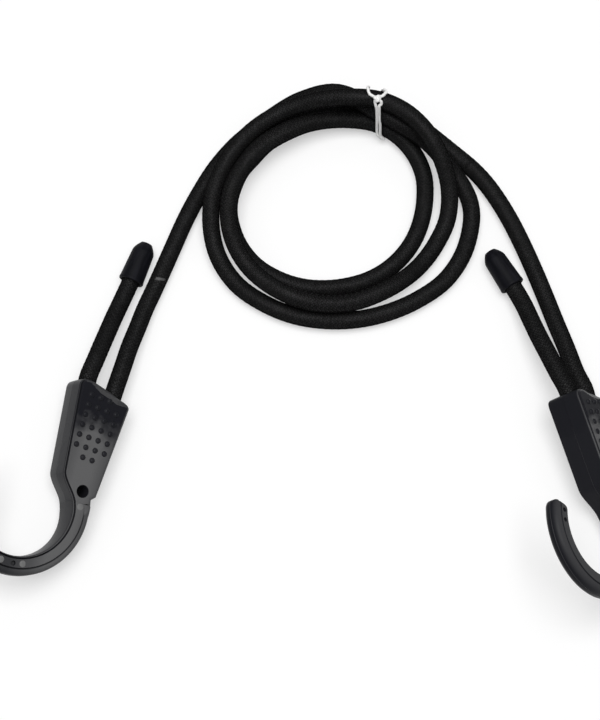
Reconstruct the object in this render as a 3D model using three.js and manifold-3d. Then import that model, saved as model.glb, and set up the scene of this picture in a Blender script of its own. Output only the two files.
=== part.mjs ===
// Adjustable bungee cord: one elastic cord, coiled and tied, with a moulded hook on each end.
// Millimetres, +Z up. It lies on z = 0, as it lies when seen from above.
import * as THREE from "three";
import { mergeVertices } from "three/addons/utils/BufferGeometryUtils.js";
import Module from "manifold-3d";

const wasm = await Module();
wasm.setup();

// Cord
const CORD_DIAMETER = 9;
const JACKET_WALL = 0.9;
const GAP = 0.3; // kept between pieces that touch
const CORD_STEP = 8; // length of one facet along the cord
const TURN_STEP = 2.7; // the same, round the post in a hook
const CORD_SIDES = 8;
const COIL_SIDES = 6;
const LEG_OUTSIDE = 135; // straight run of cord outside a hook's mouth

// Hook, in its own frame: x towards the spine, y up the grip to the mouth, z out of the face
const GRIP_THICKNESS = 19;
const GRIP_BEVEL = 1.2;
const MOUTH_HALF_WIDTH = 15;
const MOUTH_TOP = 21; // highest point of the mouth, on the tail's side
const MOUTH_ROUNDING = 4;
const SPINE_TOP_X = 14;
const SPINE_TOP_Y = 13.5;
const SPINE_TOP_ROUNDING = 3;
const SPINE_FOOT_X = 10.6;
const SPINE_FOOT_Y = -33;
const SPINE_STEP = 2; // the grip ends on the spine in a small step
const SHOULDER_HALF_WIDTH = 10;
const SHOULDER_Y = -25.5;
const NECK_EASE = 4.5; // length over which the side eases into the shoulder and the neck
const COVER_END_Y = -38;
const HOLE_DIAMETER = 6;
const HOLE_X = 2.6;
const HOLE_Y = -32.3;
const HOLE_SIDES = 24;

// Hooked arm
const BOWL_X = -22;
const BOWL_Y = -48;
const BOWL_RADIUS = 23.3;
const ARM_WIDTH = 9.4;
const ARM_TIP_THICKNESS = 8;
const ARM_OUTER_BEVEL = 2.5;
const ARM_INNER_BEVEL = 0.9;
const ARM_START = 20; // degrees above the bowl's centre line, where the arm leaves the grip
const ARM_SWEEP = 233; // degrees of arc from there to the tip
const ARM_OVERLAP = 4; // degrees by which the grip and the arm run into each other
const ARM_TAPER = 3.2; // how early along the arm it thins towards the tip
const ARM_TIP_LIFT = 0.6; // the tip's middle lies this far in front of the grip's
const ARM_STEPS = 30;
const TIP_ROUNDING = 3.6;
const TIP_STEPS = 4;

// Cord passage inside the hook
const PASSAGE_CLEARANCE = 0.5;
const POST_RADIUS = 1.2;
const POST_TOP_Y = 8;
const TURN_Y = -5;
const MOUTH_WALL = 1.5; // beside the cord at the mouth, on the tail's side
const SPINE_WALL = 2; // the same on the spine's side
const MOUTH_EXIT_Y = 24; // the cord is clear of the mouth here
const PASSAGE_SIDES = 12;

// Raised dots on the cover
const DOT_DIAMETER = 2.4;
const DOT_HEIGHT = 0.7;
const DOT_ROOT = 1; // how deep a dot is rooted in the cover
const DOT_PITCH = 5.1;
const DOT_COLUMNS = 4;
const DOT_ROWS = 7;
const DOT_TOP_ROW_Y = 14;
const DOT_TOP_MARGIN = 2.6;
const DOT_SIDE_MARGIN = 2.3;
const DOT_SIDES = 10;
const DOT_RINGS = 2;

// End cap
const CAP_LENGTH = 22;
const CAP_WALL = 1.7;
const CAP_SOCKET_DEPTH = 13;
const CAP_DOME = 5.4; // length of the rounded end
const CAP_TIP_DIAMETER = 5.8;
const CAP_SIDES = 24;

// Tie
const TIE_DIAMETER = 1.5;
const TIE_TURNS = 2;
const TIE_PITCH = 2.3;
const TIE_STEPS = 24;
const TIE_SLACK = 0.5; // how loosely it goes round the cord
const TIE_FLOOR_GAP = 0.2;
const TIE_END = 3; // length of each free end
const TIE_KNOT_DIAMETER = 4;
const KNOT_SIDES = 10;
const TIE_KNOT_ANGLE = 60; // degrees above the horizontal, on the coil's outer side
const TIE_X = 40.5;
const TIE_Y = 130;
const TIE_HEADING = 8; // degrees, of the tie's own axis
const TIE_REACH = 32; // strands this close to the tie's middle run through it

// Places on the floor, measured from a point between the hooks
const HOOK_POSES = {
  left: { x: -104, y: -38.7, heading: -14.8, roll: 31.5 },
  right: { x: 142.9, y: -42.4, heading: 13.5, roll: 45 },
};

// Route of the cord outside the hooks, chosen by eye
const LEFT_TAIL_ROUTE = [
  [-102, -5, 17.8], [-99.5, 3, 15.6], [-97, 11, 13], [-94.5, 19, 10.4], [-91.3, 28, 8], [-87, 39, 6.9],
  [-84.65, 45.2, 6.8], [-82.3, 51.4, 6.75],
];
const RIGHT_TAIL_ROUTE = [
  [127.8, -12, 20.4], [123.8, -1.5, 17.4], [120, 8.5, 14.4], [117, 17.5, 11.4], [113.8, 27, 8.6],
  [109.3, 36.5, 7], [105.9, 42.2, 6.8], [102.5, 47.9, 6.75],
];
const LEFT_ROUTE = [
  [-89, -6, 10], [-86, 5, 8.4], [-82.5, 15.5, 6.6], [-79, 26, 5.3], [-75.5, 34.5, 4.8], [-72, 43, 4.7],
  [-65, 60.5, 4.7], [-59.5, 74, 4.7], [-53, 87.5, 4.7], [-44, 103, 4.7], [-33, 116.5, 4.7],
  [-22.5, 125.5, 4.7], [-12.5, 133.5, 4.8], [-2.5, 139.5, 6], [5.5, 141.7, 8.6], [11.5, 142.4, 11.1],
  [18.5, 141.8, 13.8], [25, 139.4, 15.5], [32.5, 135, 16.1], [39, 130.5, 16.3], [46, 126.5, 16.1],
  [52.5, 123, 15.4], [59.5, 119, 14.3], [66.5, 114, 12.6], [72, 108.6, 11], [77.2, 102.2, 8.9],
  [82.2, 96.4, 6.4], [86, 90.2, 5.3], [88.6, 83, 4.8],
];
const RIGHT_ROUTE = [
  [-36.6, 84.5, 4.7], [-34.6, 92.6, 4.7], [-31.1, 100.7, 4.7], [-25.5, 108.3, 4.7], [-19.4, 115.3, 4.7],
  [-11.8, 121.9, 4.7], [-3.1, 127.7, 4.7], [5.5, 132, 4.7], [13, 135, 4.8], [21, 137, 5.2],
  [29, 138, 6], [35.5, 138.7, 6.8], [42, 138, 7], [48, 136.3, 6.4], [54, 133, 5.5], [60, 129, 4.9],
  [66.5, 123.5, 4.7], [79, 112.5, 4.7], [90, 102.5, 4.7], [96.5, 95, 4.7], [102.5, 86, 4.7],
  [109, 74, 4.7], [115, 60.5, 4.7], [120.5, 46.5, 4.7], [125.5, 32.5, 4.9], [130, 18.5, 6],
  [134.5, 4.5, 8], [138.6, -9.5, 10.2],
];

// Coil: distance from its centre and height at each twelfth of a turn, clockwise from the right
const COIL_X = 20;
const COIL_Y = 81;
const COIL_STATIONS = 12; // in one turn
const COIL_RADII = [
  69.5, 68.5, 63, 61.5, 64, 68, 65.7, 60.5, 56.5, 52.5, 56, 56.5, // outer turn
  57.5, 53.2, 52.5, 54.8, 56.8, 58.4, 56.4, 50.6, 46.5, 47.1, 50.5, 49.2, // middle turn
  44.5, 42.6, 42.4, 43.8, 48.6, 54.6, 57.1, // inner turn, up to where it leaves the coil
];
const COIL_HEIGHTS = [
  4.7, 4.7, 4.7, 4.7, 4.7, 5.4, 10.4, 14.6, 16.6, 25.2, 25.5, 22.9,
  9.5, 4.8, 10.6, 11.8, 13.2, 14.3, 15.3, 15.8, 13.9, 9.6, 6.4, 4.8,
  4.7, 4.7, 4.7, 4.7, 4.7, 4.7, 4.7,
];
const COIL_FROM = 0.2; // in stations
const COIL_TO = 29.8;
const COIL_POINTS_PER_STATION = 2;

const radians = THREE.MathUtils.degToRad;
const lerp = THREE.MathUtils.lerp;

const plastic = new THREE.MeshStandardMaterial({ color: 0x1c1d20, roughness: 0.42, metalness: 0 });
const capPlastic = new THREE.MeshStandardMaterial({ color: 0x16171c, roughness: 0.5, metalness: 0 });
const sleeve = new THREE.MeshStandardMaterial({ color: 0x141416, roughness: 0.8, metalness: 0 });
const rubber = new THREE.MeshStandardMaterial({ color: 0xb9a98a, roughness: 0.7, metalness: 0 });
const white = new THREE.MeshStandardMaterial({ color: 0xf2f2f0, roughness: 0.45, metalness: 0 });

// Sizes that follow from those above
const cordRadius = CORD_DIAMETER / 2;
const passageHalf = cordRadius + PASSAGE_CLEARANCE;
const turnRadius = POST_RADIUS + passageHalf; // of the cord's middle, round the post
const tailMouthX = passageHalf + MOUTH_WALL - MOUTH_HALF_WIDTH;
const legMouthX = SPINE_TOP_X - SPINE_WALL - passageHalf;
const armRadius = BOWL_RADIUS + ARM_WIDTH / 2;
const beyond = 2 * (MOUTH_TOP - BOWL_Y + BOWL_RADIUS + ARM_WIDTH); // past the hook on every side

// Booleans

function solidOf(geometry) {
  const bare = new THREE.BufferGeometry();
  bare.setAttribute("position", geometry.getAttribute("position"));
  if (geometry.index) bare.setIndex(geometry.index);
  const merged = mergeVertices(bare, 1e-4);
  return new wasm.Manifold(
    new wasm.Mesh({
      numProp: 3,
      vertProperties: merged.attributes.position.array,
      triVerts: new Uint32Array(merged.index.array),
    }),
  );
}

function geometryOf(solid) {
  const mesh = solid.getMesh();
  const geometry = new THREE.BufferGeometry();
  geometry.setAttribute("position", new THREE.BufferAttribute(mesh.vertProperties, 3));
  geometry.setIndex(new THREE.BufferAttribute(mesh.triVerts, 1));
  geometry.computeVertexNormals();
  return geometry;
}

// All of the hook's space above endY and in front of fromZ
function frontSpace(endY, fromZ) {
  const box = new THREE.BoxGeometry(2 * beyond, beyond, beyond);
  box.translate(0, endY + beyond / 2, fromZ + beyond / 2);
  return solidOf(box);
}

function plate(shape, thickness, bevel, curveSegments) {
  const geometry = new THREE.ExtrudeGeometry(shape, {
    depth: thickness - 2 * bevel,
    bevelEnabled: bevel > 0,
    bevelThickness: bevel,
    bevelSize: bevel,
    bevelOffset: -bevel,
    bevelSegments: 2,
    curveSegments,
  });
  geometry.translate(0, 0, bevel - thickness / 2);
  return solidOf(geometry);
}

// Hook

function onBowl(radius, degrees) {
  const angle = radians(degrees);
  return new THREE.Vector2(BOWL_X + radius * Math.cos(angle), BOWL_Y + radius * Math.sin(angle));
}

function gripShape() {
  const armOuter = onBowl(BOWL_RADIUS + ARM_WIDTH, ARM_START - ARM_OVERLAP);
  const neckAngle = radians(ARM_START + ARM_OVERLAP);
  const neck = onBowl(BOWL_RADIUS, ARM_START + ARM_OVERLAP);
  const intoNeck = new THREE.Vector2(Math.sin(neckAngle), -Math.cos(neckAngle)).multiplyScalar(NECK_EASE);
  const sideTop = new THREE.Vector2(-MOUTH_HALF_WIDTH, MOUTH_TOP - MOUTH_ROUNDING);
  const shoulder = new THREE.Vector2(-SHOULDER_HALF_WIDTH, SHOULDER_Y);
  const downSide = shoulder.clone().sub(sideTop).setLength(NECK_EASE);
  const spineCornerX = SPINE_TOP_X - SPINE_TOP_ROUNDING;
  const spineCornerY = SPINE_TOP_Y + SPINE_TOP_ROUNDING;
  const shape = new THREE.Shape();
  shape.moveTo(sideTop.x, sideTop.y);
  shape.lineTo(shoulder.x, shoulder.y);
  shape.bezierCurveTo(
    shoulder.x + downSide.x, shoulder.y + downSide.y,
    neck.x - intoNeck.x, neck.y - intoNeck.y,
    neck.x, neck.y,
  );
  shape.absarc(BOWL_X, BOWL_Y, BOWL_RADIUS, neckAngle, radians(ARM_START - ARM_OVERLAP), true);
  shape.lineTo(armOuter.x, armOuter.y);
  shape.lineTo(SPINE_FOOT_X - SPINE_STEP, SPINE_FOOT_Y - SPINE_STEP);
  shape.lineTo(SPINE_FOOT_X, SPINE_FOOT_Y);
  shape.lineTo(SPINE_TOP_X, SPINE_TOP_Y);
  shape.quadraticCurveTo(SPINE_TOP_X, SPINE_TOP_Y + SPINE_TOP_ROUNDING / 2, spineCornerX, spineCornerY);
  shape.quadraticCurveTo(0, MOUTH_TOP, MOUTH_ROUNDING - MOUTH_HALF_WIDTH, MOUTH_TOP);
  shape.quadraticCurveTo(-MOUTH_HALF_WIDTH, MOUTH_TOP, sideTop.x, sideTop.y);
  return shape;
}

// Where the middle of the cord runs at height y, between the turn and the mouth
function sideX(mouthX, y) {
  const share = (y - TURN_Y) / (MOUTH_EXIT_Y - TURN_Y);
  return lerp(Math.sign(mouthX) * turnRadius, mouthX, share);
}

// The space that the cord turns in, open at the mouth, round a post
function passageSolid() {
  const reach = MOUTH_EXIT_Y + CORD_DIAMETER;
  const shape = new THREE.Shape();
  shape.moveTo(sideX(tailMouthX, reach) - passageHalf, reach);
  shape.lineTo(-turnRadius - passageHalf, TURN_Y);
  shape.absarc(0, TURN_Y, turnRadius + passageHalf, Math.PI, 2 * Math.PI, false);
  shape.lineTo(sideX(legMouthX, reach) + passageHalf, reach);
  const post = new THREE.Shape();
  post.moveTo(-POST_RADIUS, TURN_Y);
  post.absarc(0, TURN_Y, POST_RADIUS, Math.PI, 2 * Math.PI, false);
  post.lineTo(POST_RADIUS, POST_TOP_Y);
  post.lineTo(-POST_RADIUS, POST_TOP_Y);
  const space = plate(shape, 2 * passageHalf, 0, PASSAGE_SIDES);
  return space.subtract(plate(post, GRIP_THICKNESS, 0, PASSAGE_SIDES));
}

// One section of the arm: a bevelled rectangle, as distances out from the arm's middle and across it
function armSection(width, thickness, scale) {
  const w = (scale * width) / 2;
  const t = (scale * thickness) / 2;
  const outer = scale * ARM_OUTER_BEVEL;
  const inner = scale * ARM_INNER_BEVEL;
  return [
    [w, t - outer], [w - outer, t], [inner - w, t], [-w, t - inner],
    [-w, inner - t], [inner - w, -t], [w - outer, -t], [w, outer - t],
  ];
}

// Sections from the grip to the rounded tip, each at a share of the arm's length
function armStations() {
  const length = radians(ARM_SWEEP) * armRadius;
  const stations = [];
  for (let i = 0; i <= ARM_STEPS; i++) {
    stations.push({ share: (i / ARM_STEPS) * (1 - TIP_ROUNDING / length), scale: 1 });
  }
  for (let k = 1; k <= TIP_STEPS; k++) {
    const angle = (Math.PI / 2) * (k / TIP_STEPS);
    const inset = (2 * TIP_ROUNDING * (1 - Math.cos(angle))) / ARM_WIDTH;
    stations.push({ share: 1 - (TIP_ROUNDING * (1 - Math.sin(angle))) / length, scale: 1 - inset });
  }
  return stations;
}

function armSolid() {
  const positions = [];
  const index = [];
  const stations = armStations();
  for (const { share, scale } of stations) {
    const thickness = lerp(ARM_TIP_THICKNESS, GRIP_THICKNESS, (1 - share) ** ARM_TAPER);
    const lift = lerp(ARM_TIP_LIFT, 0, (1 - share) ** ARM_TAPER);
    for (const [out, across] of armSection(ARM_WIDTH, thickness, scale)) {
      const { x, y } = onBowl(armRadius + out, ARM_START - ARM_SWEEP * share);
      positions.push(x, y, lift + across);
    }
  }
  const sides = positions.length / 3 / stations.length;
  const last = (stations.length - 1) * sides;
  for (let first = 0; first < last; first += sides) {
    for (let k = 0; k < sides; k++) {
      const a = first + k;
      const b = first + ((k + 1) % sides);
      index.push(a, b, a + sides, b, b + sides, a + sides);
    }
  }
  for (let k = 1; k < sides - 1; k++) {
    index.push(0, k + 1, k);
    index.push(last, last + k, last + k + 1);
  }
  const geometry = new THREE.BufferGeometry();
  geometry.setAttribute("position", new THREE.Float32BufferAttribute(positions, 3));
  geometry.setIndex(index);
  return solidOf(geometry);
}

function dotGeometry() {
  const radius = DOT_DIAMETER / 2;
  const profile = [new THREE.Vector2(0, -DOT_ROOT), new THREE.Vector2(radius, -DOT_ROOT)];
  for (let k = 0; k <= DOT_RINGS; k++) {
    const angle = (Math.PI / 2) * (k / DOT_RINGS);
    const ringRadius = k < DOT_RINGS ? radius * Math.cos(angle) : 0;
    profile.push(new THREE.Vector2(ringRadius, DOT_HEIGHT * Math.sin(angle)));
  }
  return new THREE.LatheGeometry(profile, DOT_SIDES).rotateX(Math.PI / 2);
}

// A square grid of dots, wherever the face has room for one
function dotSolids() {
  const dots = [];
  const radius = DOT_DIAMETER / 2;
  const sideTopY = MOUTH_TOP - MOUTH_ROUNDING;
  for (let row = 0; row < DOT_ROWS; row++) {
    const y = DOT_TOP_ROW_Y - row * DOT_PITCH;
    const halfWidth = lerp(MOUTH_HALF_WIDTH, SHOULDER_HALF_WIDTH, (sideTopY - y) / (sideTopY - SHOULDER_Y));
    for (let column = 0; column < DOT_COLUMNS; column++) {
      const x = (column - (DOT_COLUMNS - 1) / 2) * DOT_PITCH;
      const mouthY = lerp(MOUTH_TOP, SPINE_TOP_Y, Math.max(0, x / SPINE_TOP_X));
      const besideEdge = Math.abs(x) + radius + DOT_SIDE_MARGIN > halfWidth;
      const besideMouth = y + radius + DOT_TOP_MARGIN > mouthY;
      if (besideEdge || besideMouth) continue;
      dots.push(solidOf(dotGeometry().translate(x, y, GRIP_THICKNESS / 2)));
    }
  }
  return dots;
}

// The body is the arm with the back half of the grip, and the cover is the grip's front half
function hookSolids() {
  const bore = HOLE_DIAMETER / 2;
  const hole = new THREE.CylinderGeometry(bore, bore, 2 * GRIP_THICKNESS, HOLE_SIDES);
  hole.rotateX(Math.PI / 2);
  hole.translate(HOLE_X, HOLE_Y, 0);
  const grip = plate(gripShape(), GRIP_THICKNESS, GRIP_BEVEL, PASSAGE_SIDES);
  const hollow = grip.subtract(solidOf(hole)).subtract(passageSolid());
  const body = hollow.add(armSolid()).subtract(frontSpace(COVER_END_Y - GAP / 2, -GAP / 2));
  let cover = hollow.intersect(frontSpace(COVER_END_Y + GAP / 2, GAP / 2));
  for (const dot of dotSolids()) cover = cover.add(dot);
  return { body, cover };
}

// Cord

class Stretch extends THREE.Curve {
  constructor(route, from, to) {
    super();
    this.route = route;
    this.from = from;
    this.to = to;
  }

  getPoint(share, target = new THREE.Vector3()) {
    const along = lerp(this.from, this.to, share) / this.route.getLength();
    return this.route.getPointAt(THREE.MathUtils.clamp(along, 0, 1), target);
  }
}

function ringOf(radius, sides, Kind) {
  const ring = new Kind();
  for (let k = 0; k < sides; k++) {
    const angle = (2 * Math.PI * k) / sides;
    const x = radius * Math.cos(angle);
    const y = radius * Math.sin(angle);
    if (k === 0) ring.moveTo(x, y);
    else ring.lineTo(x, y);
  }
  ring.closePath();
  return ring;
}

function tube(route, from, to, outer, inner, sides, step) {
  const section = ringOf(outer, sides, THREE.Shape);
  if (inner > 0) section.holes.push(ringOf(inner, sides, THREE.Path));
  return new THREE.ExtrudeGeometry(section, {
    steps: Math.ceil((to - from) / step),
    bevelEnabled: false,
    extrudePath: new Stretch(route, from, to),
  });
}

function smoothRoute(points) {
  const route = new THREE.CatmullRomCurve3(points, false, "centripetal");
  route.arcLengthDivisions = 80 * points.length;
  return route;
}

function vectors(list) {
  return list.map(([x, y, z]) => new THREE.Vector3(x, y, z));
}

// A smooth value between hand-set stations at whole numbers
function alongStations(values, position) {
  const i = Math.min(Math.floor(position), values.length - 2);
  const f = position - i;
  const before = values[Math.max(i - 1, 0)];
  const after = values[Math.min(i + 2, values.length - 1)];
  const slopeIn = (values[i + 1] - before) / 2;
  const slopeOut = (after - values[i]) / 2;
  const rise = values[i + 1] - values[i];
  const bend = 3 * rise - 2 * slopeIn - slopeOut;
  const twist = slopeIn + slopeOut - 2 * rise;
  return values[i] + f * (slopeIn + f * (bend + f * twist));
}

function coilPoints() {
  const points = [];
  const count = Math.round((COIL_TO - COIL_FROM) * COIL_POINTS_PER_STATION);
  for (let i = 0; i <= count; i++) {
    const position = lerp(COIL_FROM, COIL_TO, i / count);
    const radius = alongStations(COIL_RADII, position);
    const angle = (-2 * Math.PI * position) / COIL_STATIONS;
    const x = COIL_X + radius * Math.cos(angle);
    const y = COIL_Y + radius * Math.sin(angle);
    points.push(new THREE.Vector3(x, y, alongStations(COIL_HEIGHTS, position)));
  }
  return points;
}

// The cord inside a hook, from the tail's side of the mouth round the post to the leg's side
function turnPoints(hook) {
  const local = [];
  const sidePoints = 4;
  for (let i = 0; i < sidePoints; i++) {
    const y = lerp(MOUTH_EXIT_Y, TURN_Y, i / sidePoints);
    local.push([sideX(tailMouthX, y), y]);
  }
  for (let degrees = 180; degrees <= 360; degrees += 45) {
    const angle = radians(degrees);
    local.push([turnRadius * Math.cos(angle), TURN_Y + turnRadius * Math.sin(angle)]);
  }
  for (let i = 1; i <= sidePoints; i++) {
    const y = lerp(TURN_Y, MOUTH_EXIT_Y, i / sidePoints);
    local.push([sideX(legMouthX, y), y]);
  }
  return local.map(([x, y]) => new THREE.Vector3(x, y, 0).applyMatrix4(hook.matrix));
}

// How far along a route its nearest point to the given one lies
function lengthAt(route, point) {
  const total = route.getLength();
  const samples = Math.ceil(4 * total);
  let best = 0;
  let least = Infinity;
  for (let i = 0; i <= samples; i++) {
    const distance = route.getPointAt(i / samples).distanceTo(point);
    if (distance < least) {
      least = distance;
      best = (i / samples) * total;
    }
  }
  return best;
}

// Least distance between the surfaces of a tube's stretches that aren't neighbours along it
function leastGap(route, from, to, diameter) {
  const points = [];
  const samplesPerDiameter = 4;
  const neighbours = 4 * samplesPerDiameter;
  const count = Math.ceil(((to - from) / diameter) * samplesPerDiameter);
  for (let i = 0; i <= count; i++) {
    points.push(route.getPointAt(lerp(from, to, i / count) / route.getLength()));
  }
  let least = Infinity;
  for (let i = 0; i < points.length; i++) {
    for (let j = i + neighbours; j < points.length; j++) {
      least = Math.min(least, points[i].distanceTo(points[j]));
    }
  }
  return least - diameter;
}

// End cap, along +Y from its mouth to its tip
function capGeometry() {
  const socket = cordRadius + GAP;
  const outer = socket + CAP_WALL;
  const outline = new THREE.Path();
  outline.moveTo(0, CAP_SOCKET_DEPTH);
  outline.lineTo(socket, CAP_SOCKET_DEPTH);
  outline.lineTo(socket, 0);
  outline.lineTo(outer, 0);
  outline.lineTo(outer, CAP_LENGTH - CAP_DOME);
  outline.quadraticCurveTo(outer, CAP_LENGTH - CAP_DOME / 3, CAP_TIP_DIAMETER / 2, CAP_LENGTH);
  outline.lineTo(0, CAP_LENGTH);
  return new THREE.LatheGeometry(outline.getPoints(6), CAP_SIDES);
}

// Tie: a thin line wound round the strands of cord that run through it, and knotted

const tieAxis = new THREE.Vector3(Math.cos(radians(TIE_HEADING)), Math.sin(radians(TIE_HEADING)), 0);
const tieAcross = new THREE.Vector3(-tieAxis.y, tieAxis.x, 0);
const tieCentre = new THREE.Vector3(TIE_X, TIE_Y, 0);

// The strands' middles where they cross the tie's plane, shifted along its axis, with half the width
// at which that plane cuts each of them
function tiedStrands(cordPoints, along) {
  const strands = [];
  const centre = tieCentre.clone().addScaledVector(tieAxis, along);
  for (let i = 1; i < cordPoints.length; i++) {
    const last = cordPoints[i - 1].clone().sub(centre);
    const point = cordPoints[i].clone().sub(centre);
    const crosses = last.dot(tieAxis) * point.dot(tieAxis) <= 0;
    if (!crosses || point.length() > TIE_REACH) continue;
    const slant = Math.abs(point.clone().sub(last).normalize().dot(tieAxis));
    strands.push({ across: point.dot(tieAcross), height: point.z, halfWidth: cordRadius / slant });
  }
  return strands;
}

// A point of the tie's path round the strands, at an angle about its axis and a place along that axis
function tiePoint(cordPoints, angle, along, clear) {
  const out = Math.cos(angle);
  const up = Math.sin(angle);
  const support = (s) => s.across * out + s.height * up + Math.hypot(s.halfWidth * out, cordRadius * up);
  const strands = tiedStrands(cordPoints, along);
  const outermost = strands.reduce((a, b) => (support(b) > support(a) ? b : a));
  const across = outermost.across + out * (outermost.halfWidth + clear);
  const height = outermost.height + up * (cordRadius + clear);
  const point = tieCentre.clone().addScaledVector(tieAxis, along).addScaledVector(tieAcross, across);
  return point.setZ(Math.max(height, TIE_DIAMETER / 2 + TIE_FLOOR_GAP));
}

function tieRoute(cordPoints) {
  const clear = TIE_SLACK + TIE_DIAMETER / 2;
  const points = [];
  const steps = TIE_TURNS * TIE_STEPS;
  for (let i = 0; i <= steps; i++) {
    const angle = radians(TIE_KNOT_ANGLE) + (2 * Math.PI * i) / TIE_STEPS;
    points.push(tiePoint(cordPoints, angle, (i / TIE_STEPS - TIE_TURNS / 2) * TIE_PITCH, clear));
  }
  const lift = new THREE.Vector3(0, 0, TIE_DIAMETER / 2);
  const before = points[0].clone().addScaledVector(tieAxis, -TIE_END).add(lift);
  const after = points[steps].clone().addScaledVector(tieAxis, TIE_END).add(lift);
  return smoothRoute([before, ...points, after]);
}

function tieSolid(route, cordPoints) {
  const length = route.getLength();
  const step = length / (TIE_TURNS * TIE_STEPS);
  const line = tube(route, 0, length, TIE_DIAMETER / 2, 0, COIL_SIDES, step);
  const knotRadius = TIE_KNOT_DIAMETER / 2;
  const knotAt = tiePoint(cordPoints, radians(TIE_KNOT_ANGLE), 0, TIE_SLACK + knotRadius);
  const knot = new THREE.SphereGeometry(knotRadius, KNOT_SIDES, KNOT_SIDES);
  return solidOf(line).add(solidOf(knot.translate(knotAt.x, knotAt.y, knotAt.z)));
}

// Assembly

const root = new THREE.Group();
root.name = "bungee_cord";
const layout = new THREE.Group();
root.add(layout);

function addPiece(parent, name, geometry, material) {
  const mesh = new THREE.Mesh(geometry, material);
  mesh.name = name;
  parent.add(mesh);
  return mesh;
}

const { body, cover } = hookSolids();
const hooks = {};
const hooksBox = new THREE.Box3();
for (const [side, pose] of Object.entries(HOOK_POSES)) {
  const hook = new THREE.Group();
  addPiece(hook, side + "_hook_body", geometryOf(body), plastic);
  addPiece(hook, side + "_grip_cover", geometryOf(cover), plastic);
  hook.rotation.set(0, radians(pose.roll), radians(pose.heading), "ZYX");
  hook.position.set(pose.x, pose.y, 0);
  hook.position.z = -new THREE.Box3().setFromObject(hook, true).min.z;
  hook.updateMatrix();
  hooksBox.expandByObject(hook, true);
  layout.add(hook);
  hooks[side] = hook;
}

const leftTurn = turnPoints(hooks.left);
const rightTurn = turnPoints(hooks.right);
const cord = smoothRoute([
  ...vectors(LEFT_TAIL_ROUTE).reverse(),
  ...leftTurn,
  ...vectors(LEFT_ROUTE),
  ...coilPoints(),
  ...vectors(RIGHT_ROUTE),
  ...rightTurn.slice().reverse(),
  ...vectors(RIGHT_TAIL_ROUTE),
]);

const total = cord.getLength();
const besidePost = (hook, x) => lengthAt(cord, new THREE.Vector3(x, TURN_Y, 0).applyMatrix4(hook.matrix));
const marks = {
  leftTurnFrom: besidePost(hooks.left, -turnRadius),
  leftTurnTo: besidePost(hooks.left, turnRadius),
  leftLegTo: lengthAt(cord, leftTurn[leftTurn.length - 1]) + LEG_OUTSIDE,
  rightLegFrom: lengthAt(cord, rightTurn[rightTurn.length - 1]) - LEG_OUTSIDE,
  rightTurnFrom: besidePost(hooks.right, turnRadius),
  rightTurnTo: besidePost(hooks.right, -turnRadius),
};
const stretches = [
  ["left_tail", 0, marks.leftTurnFrom, CORD_SIDES, CORD_STEP],
  ["left_turn", marks.leftTurnFrom, marks.leftTurnTo, CORD_SIDES, TURN_STEP],
  ["left_leg", marks.leftTurnTo, marks.leftLegTo, CORD_SIDES, CORD_STEP],
  ["coil", marks.leftLegTo, marks.rightLegFrom, COIL_SIDES, CORD_STEP],
  ["right_leg", marks.rightLegFrom, marks.rightTurnFrom, CORD_SIDES, CORD_STEP],
  ["right_turn", marks.rightTurnFrom, marks.rightTurnTo, CORD_SIDES, TURN_STEP],
  ["right_tail", marks.rightTurnTo, total, CORD_SIDES, CORD_STEP],
];
const boreRadius = cordRadius - JACKET_WALL;
for (const [name, from, to, sides, step] of stretches) {
  const start = from === 0 ? 0 : from + GAP / 2;
  const end = to === total ? total : to - GAP / 2;
  const flatOfBore = boreRadius * Math.cos(Math.PI / sides);
  const jacket = tube(cord, start, end, cordRadius, boreRadius, sides, step);
  const core = tube(cord, start, end, flatOfBore - GAP, 0, sides, step);
  addPiece(layout, name + "_jacket", geometryOf(solidOf(jacket)), sleeve);
  addPiece(layout, name + "_core", geometryOf(solidOf(core)), rubber);
}

const insideCap = CAP_SOCKET_DEPTH / 2;
for (const [side, at, back] of [["left", 0, insideCap], ["right", total, total - insideCap]]) {
  const end = cord.getPointAt(at / total);
  const outward = end.clone().sub(cord.getPointAt(back / total)).normalize();
  const cap = addPiece(layout, side + "_end_cap", geometryOf(solidOf(capGeometry())), capPlastic);
  cap.quaternion.setFromUnitVectors(new THREE.Vector3(0, 1, 0), outward);
  cap.position.copy(end).addScaledVector(outward, GAP - CAP_SOCKET_DEPTH);
}

const cordPoints = cord.getSpacedPoints(Math.ceil(total));
const tieLine = tieRoute(cordPoints);
addPiece(layout, "tie", geometryOf(tieSolid(tieLine, cordPoints)), white);

// The origin is on the floor, in the middle of the hooks
const middle = hooksBox.getCenter(new THREE.Vector3());
layout.position.set(-middle.x, -middle.y, 0);

const coilGap = leastGap(cord, marks.leftTurnTo, marks.rightTurnFrom, CORD_DIAMETER);
const tieGap = leastGap(tieLine, 0, tieLine.getLength(), TIE_DIAMETER);
console.log("cord length " + total.toFixed(0) + " mm");
console.log("least gap of the coil to itself " + coilGap.toFixed(2) + " mm");
console.log("least gap of the tie to itself " + tieGap.toFixed(2) + " mm");

export default root;
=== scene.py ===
"""Coiled bungee cord with two moulded hooks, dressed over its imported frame.

Lengths are in millimetres, measured as in the part's source, until a mesh is made in metres.
"""
import math

import bmesh
import bpy
import numpy as np
from mathutils import Matrix, Vector


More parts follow.
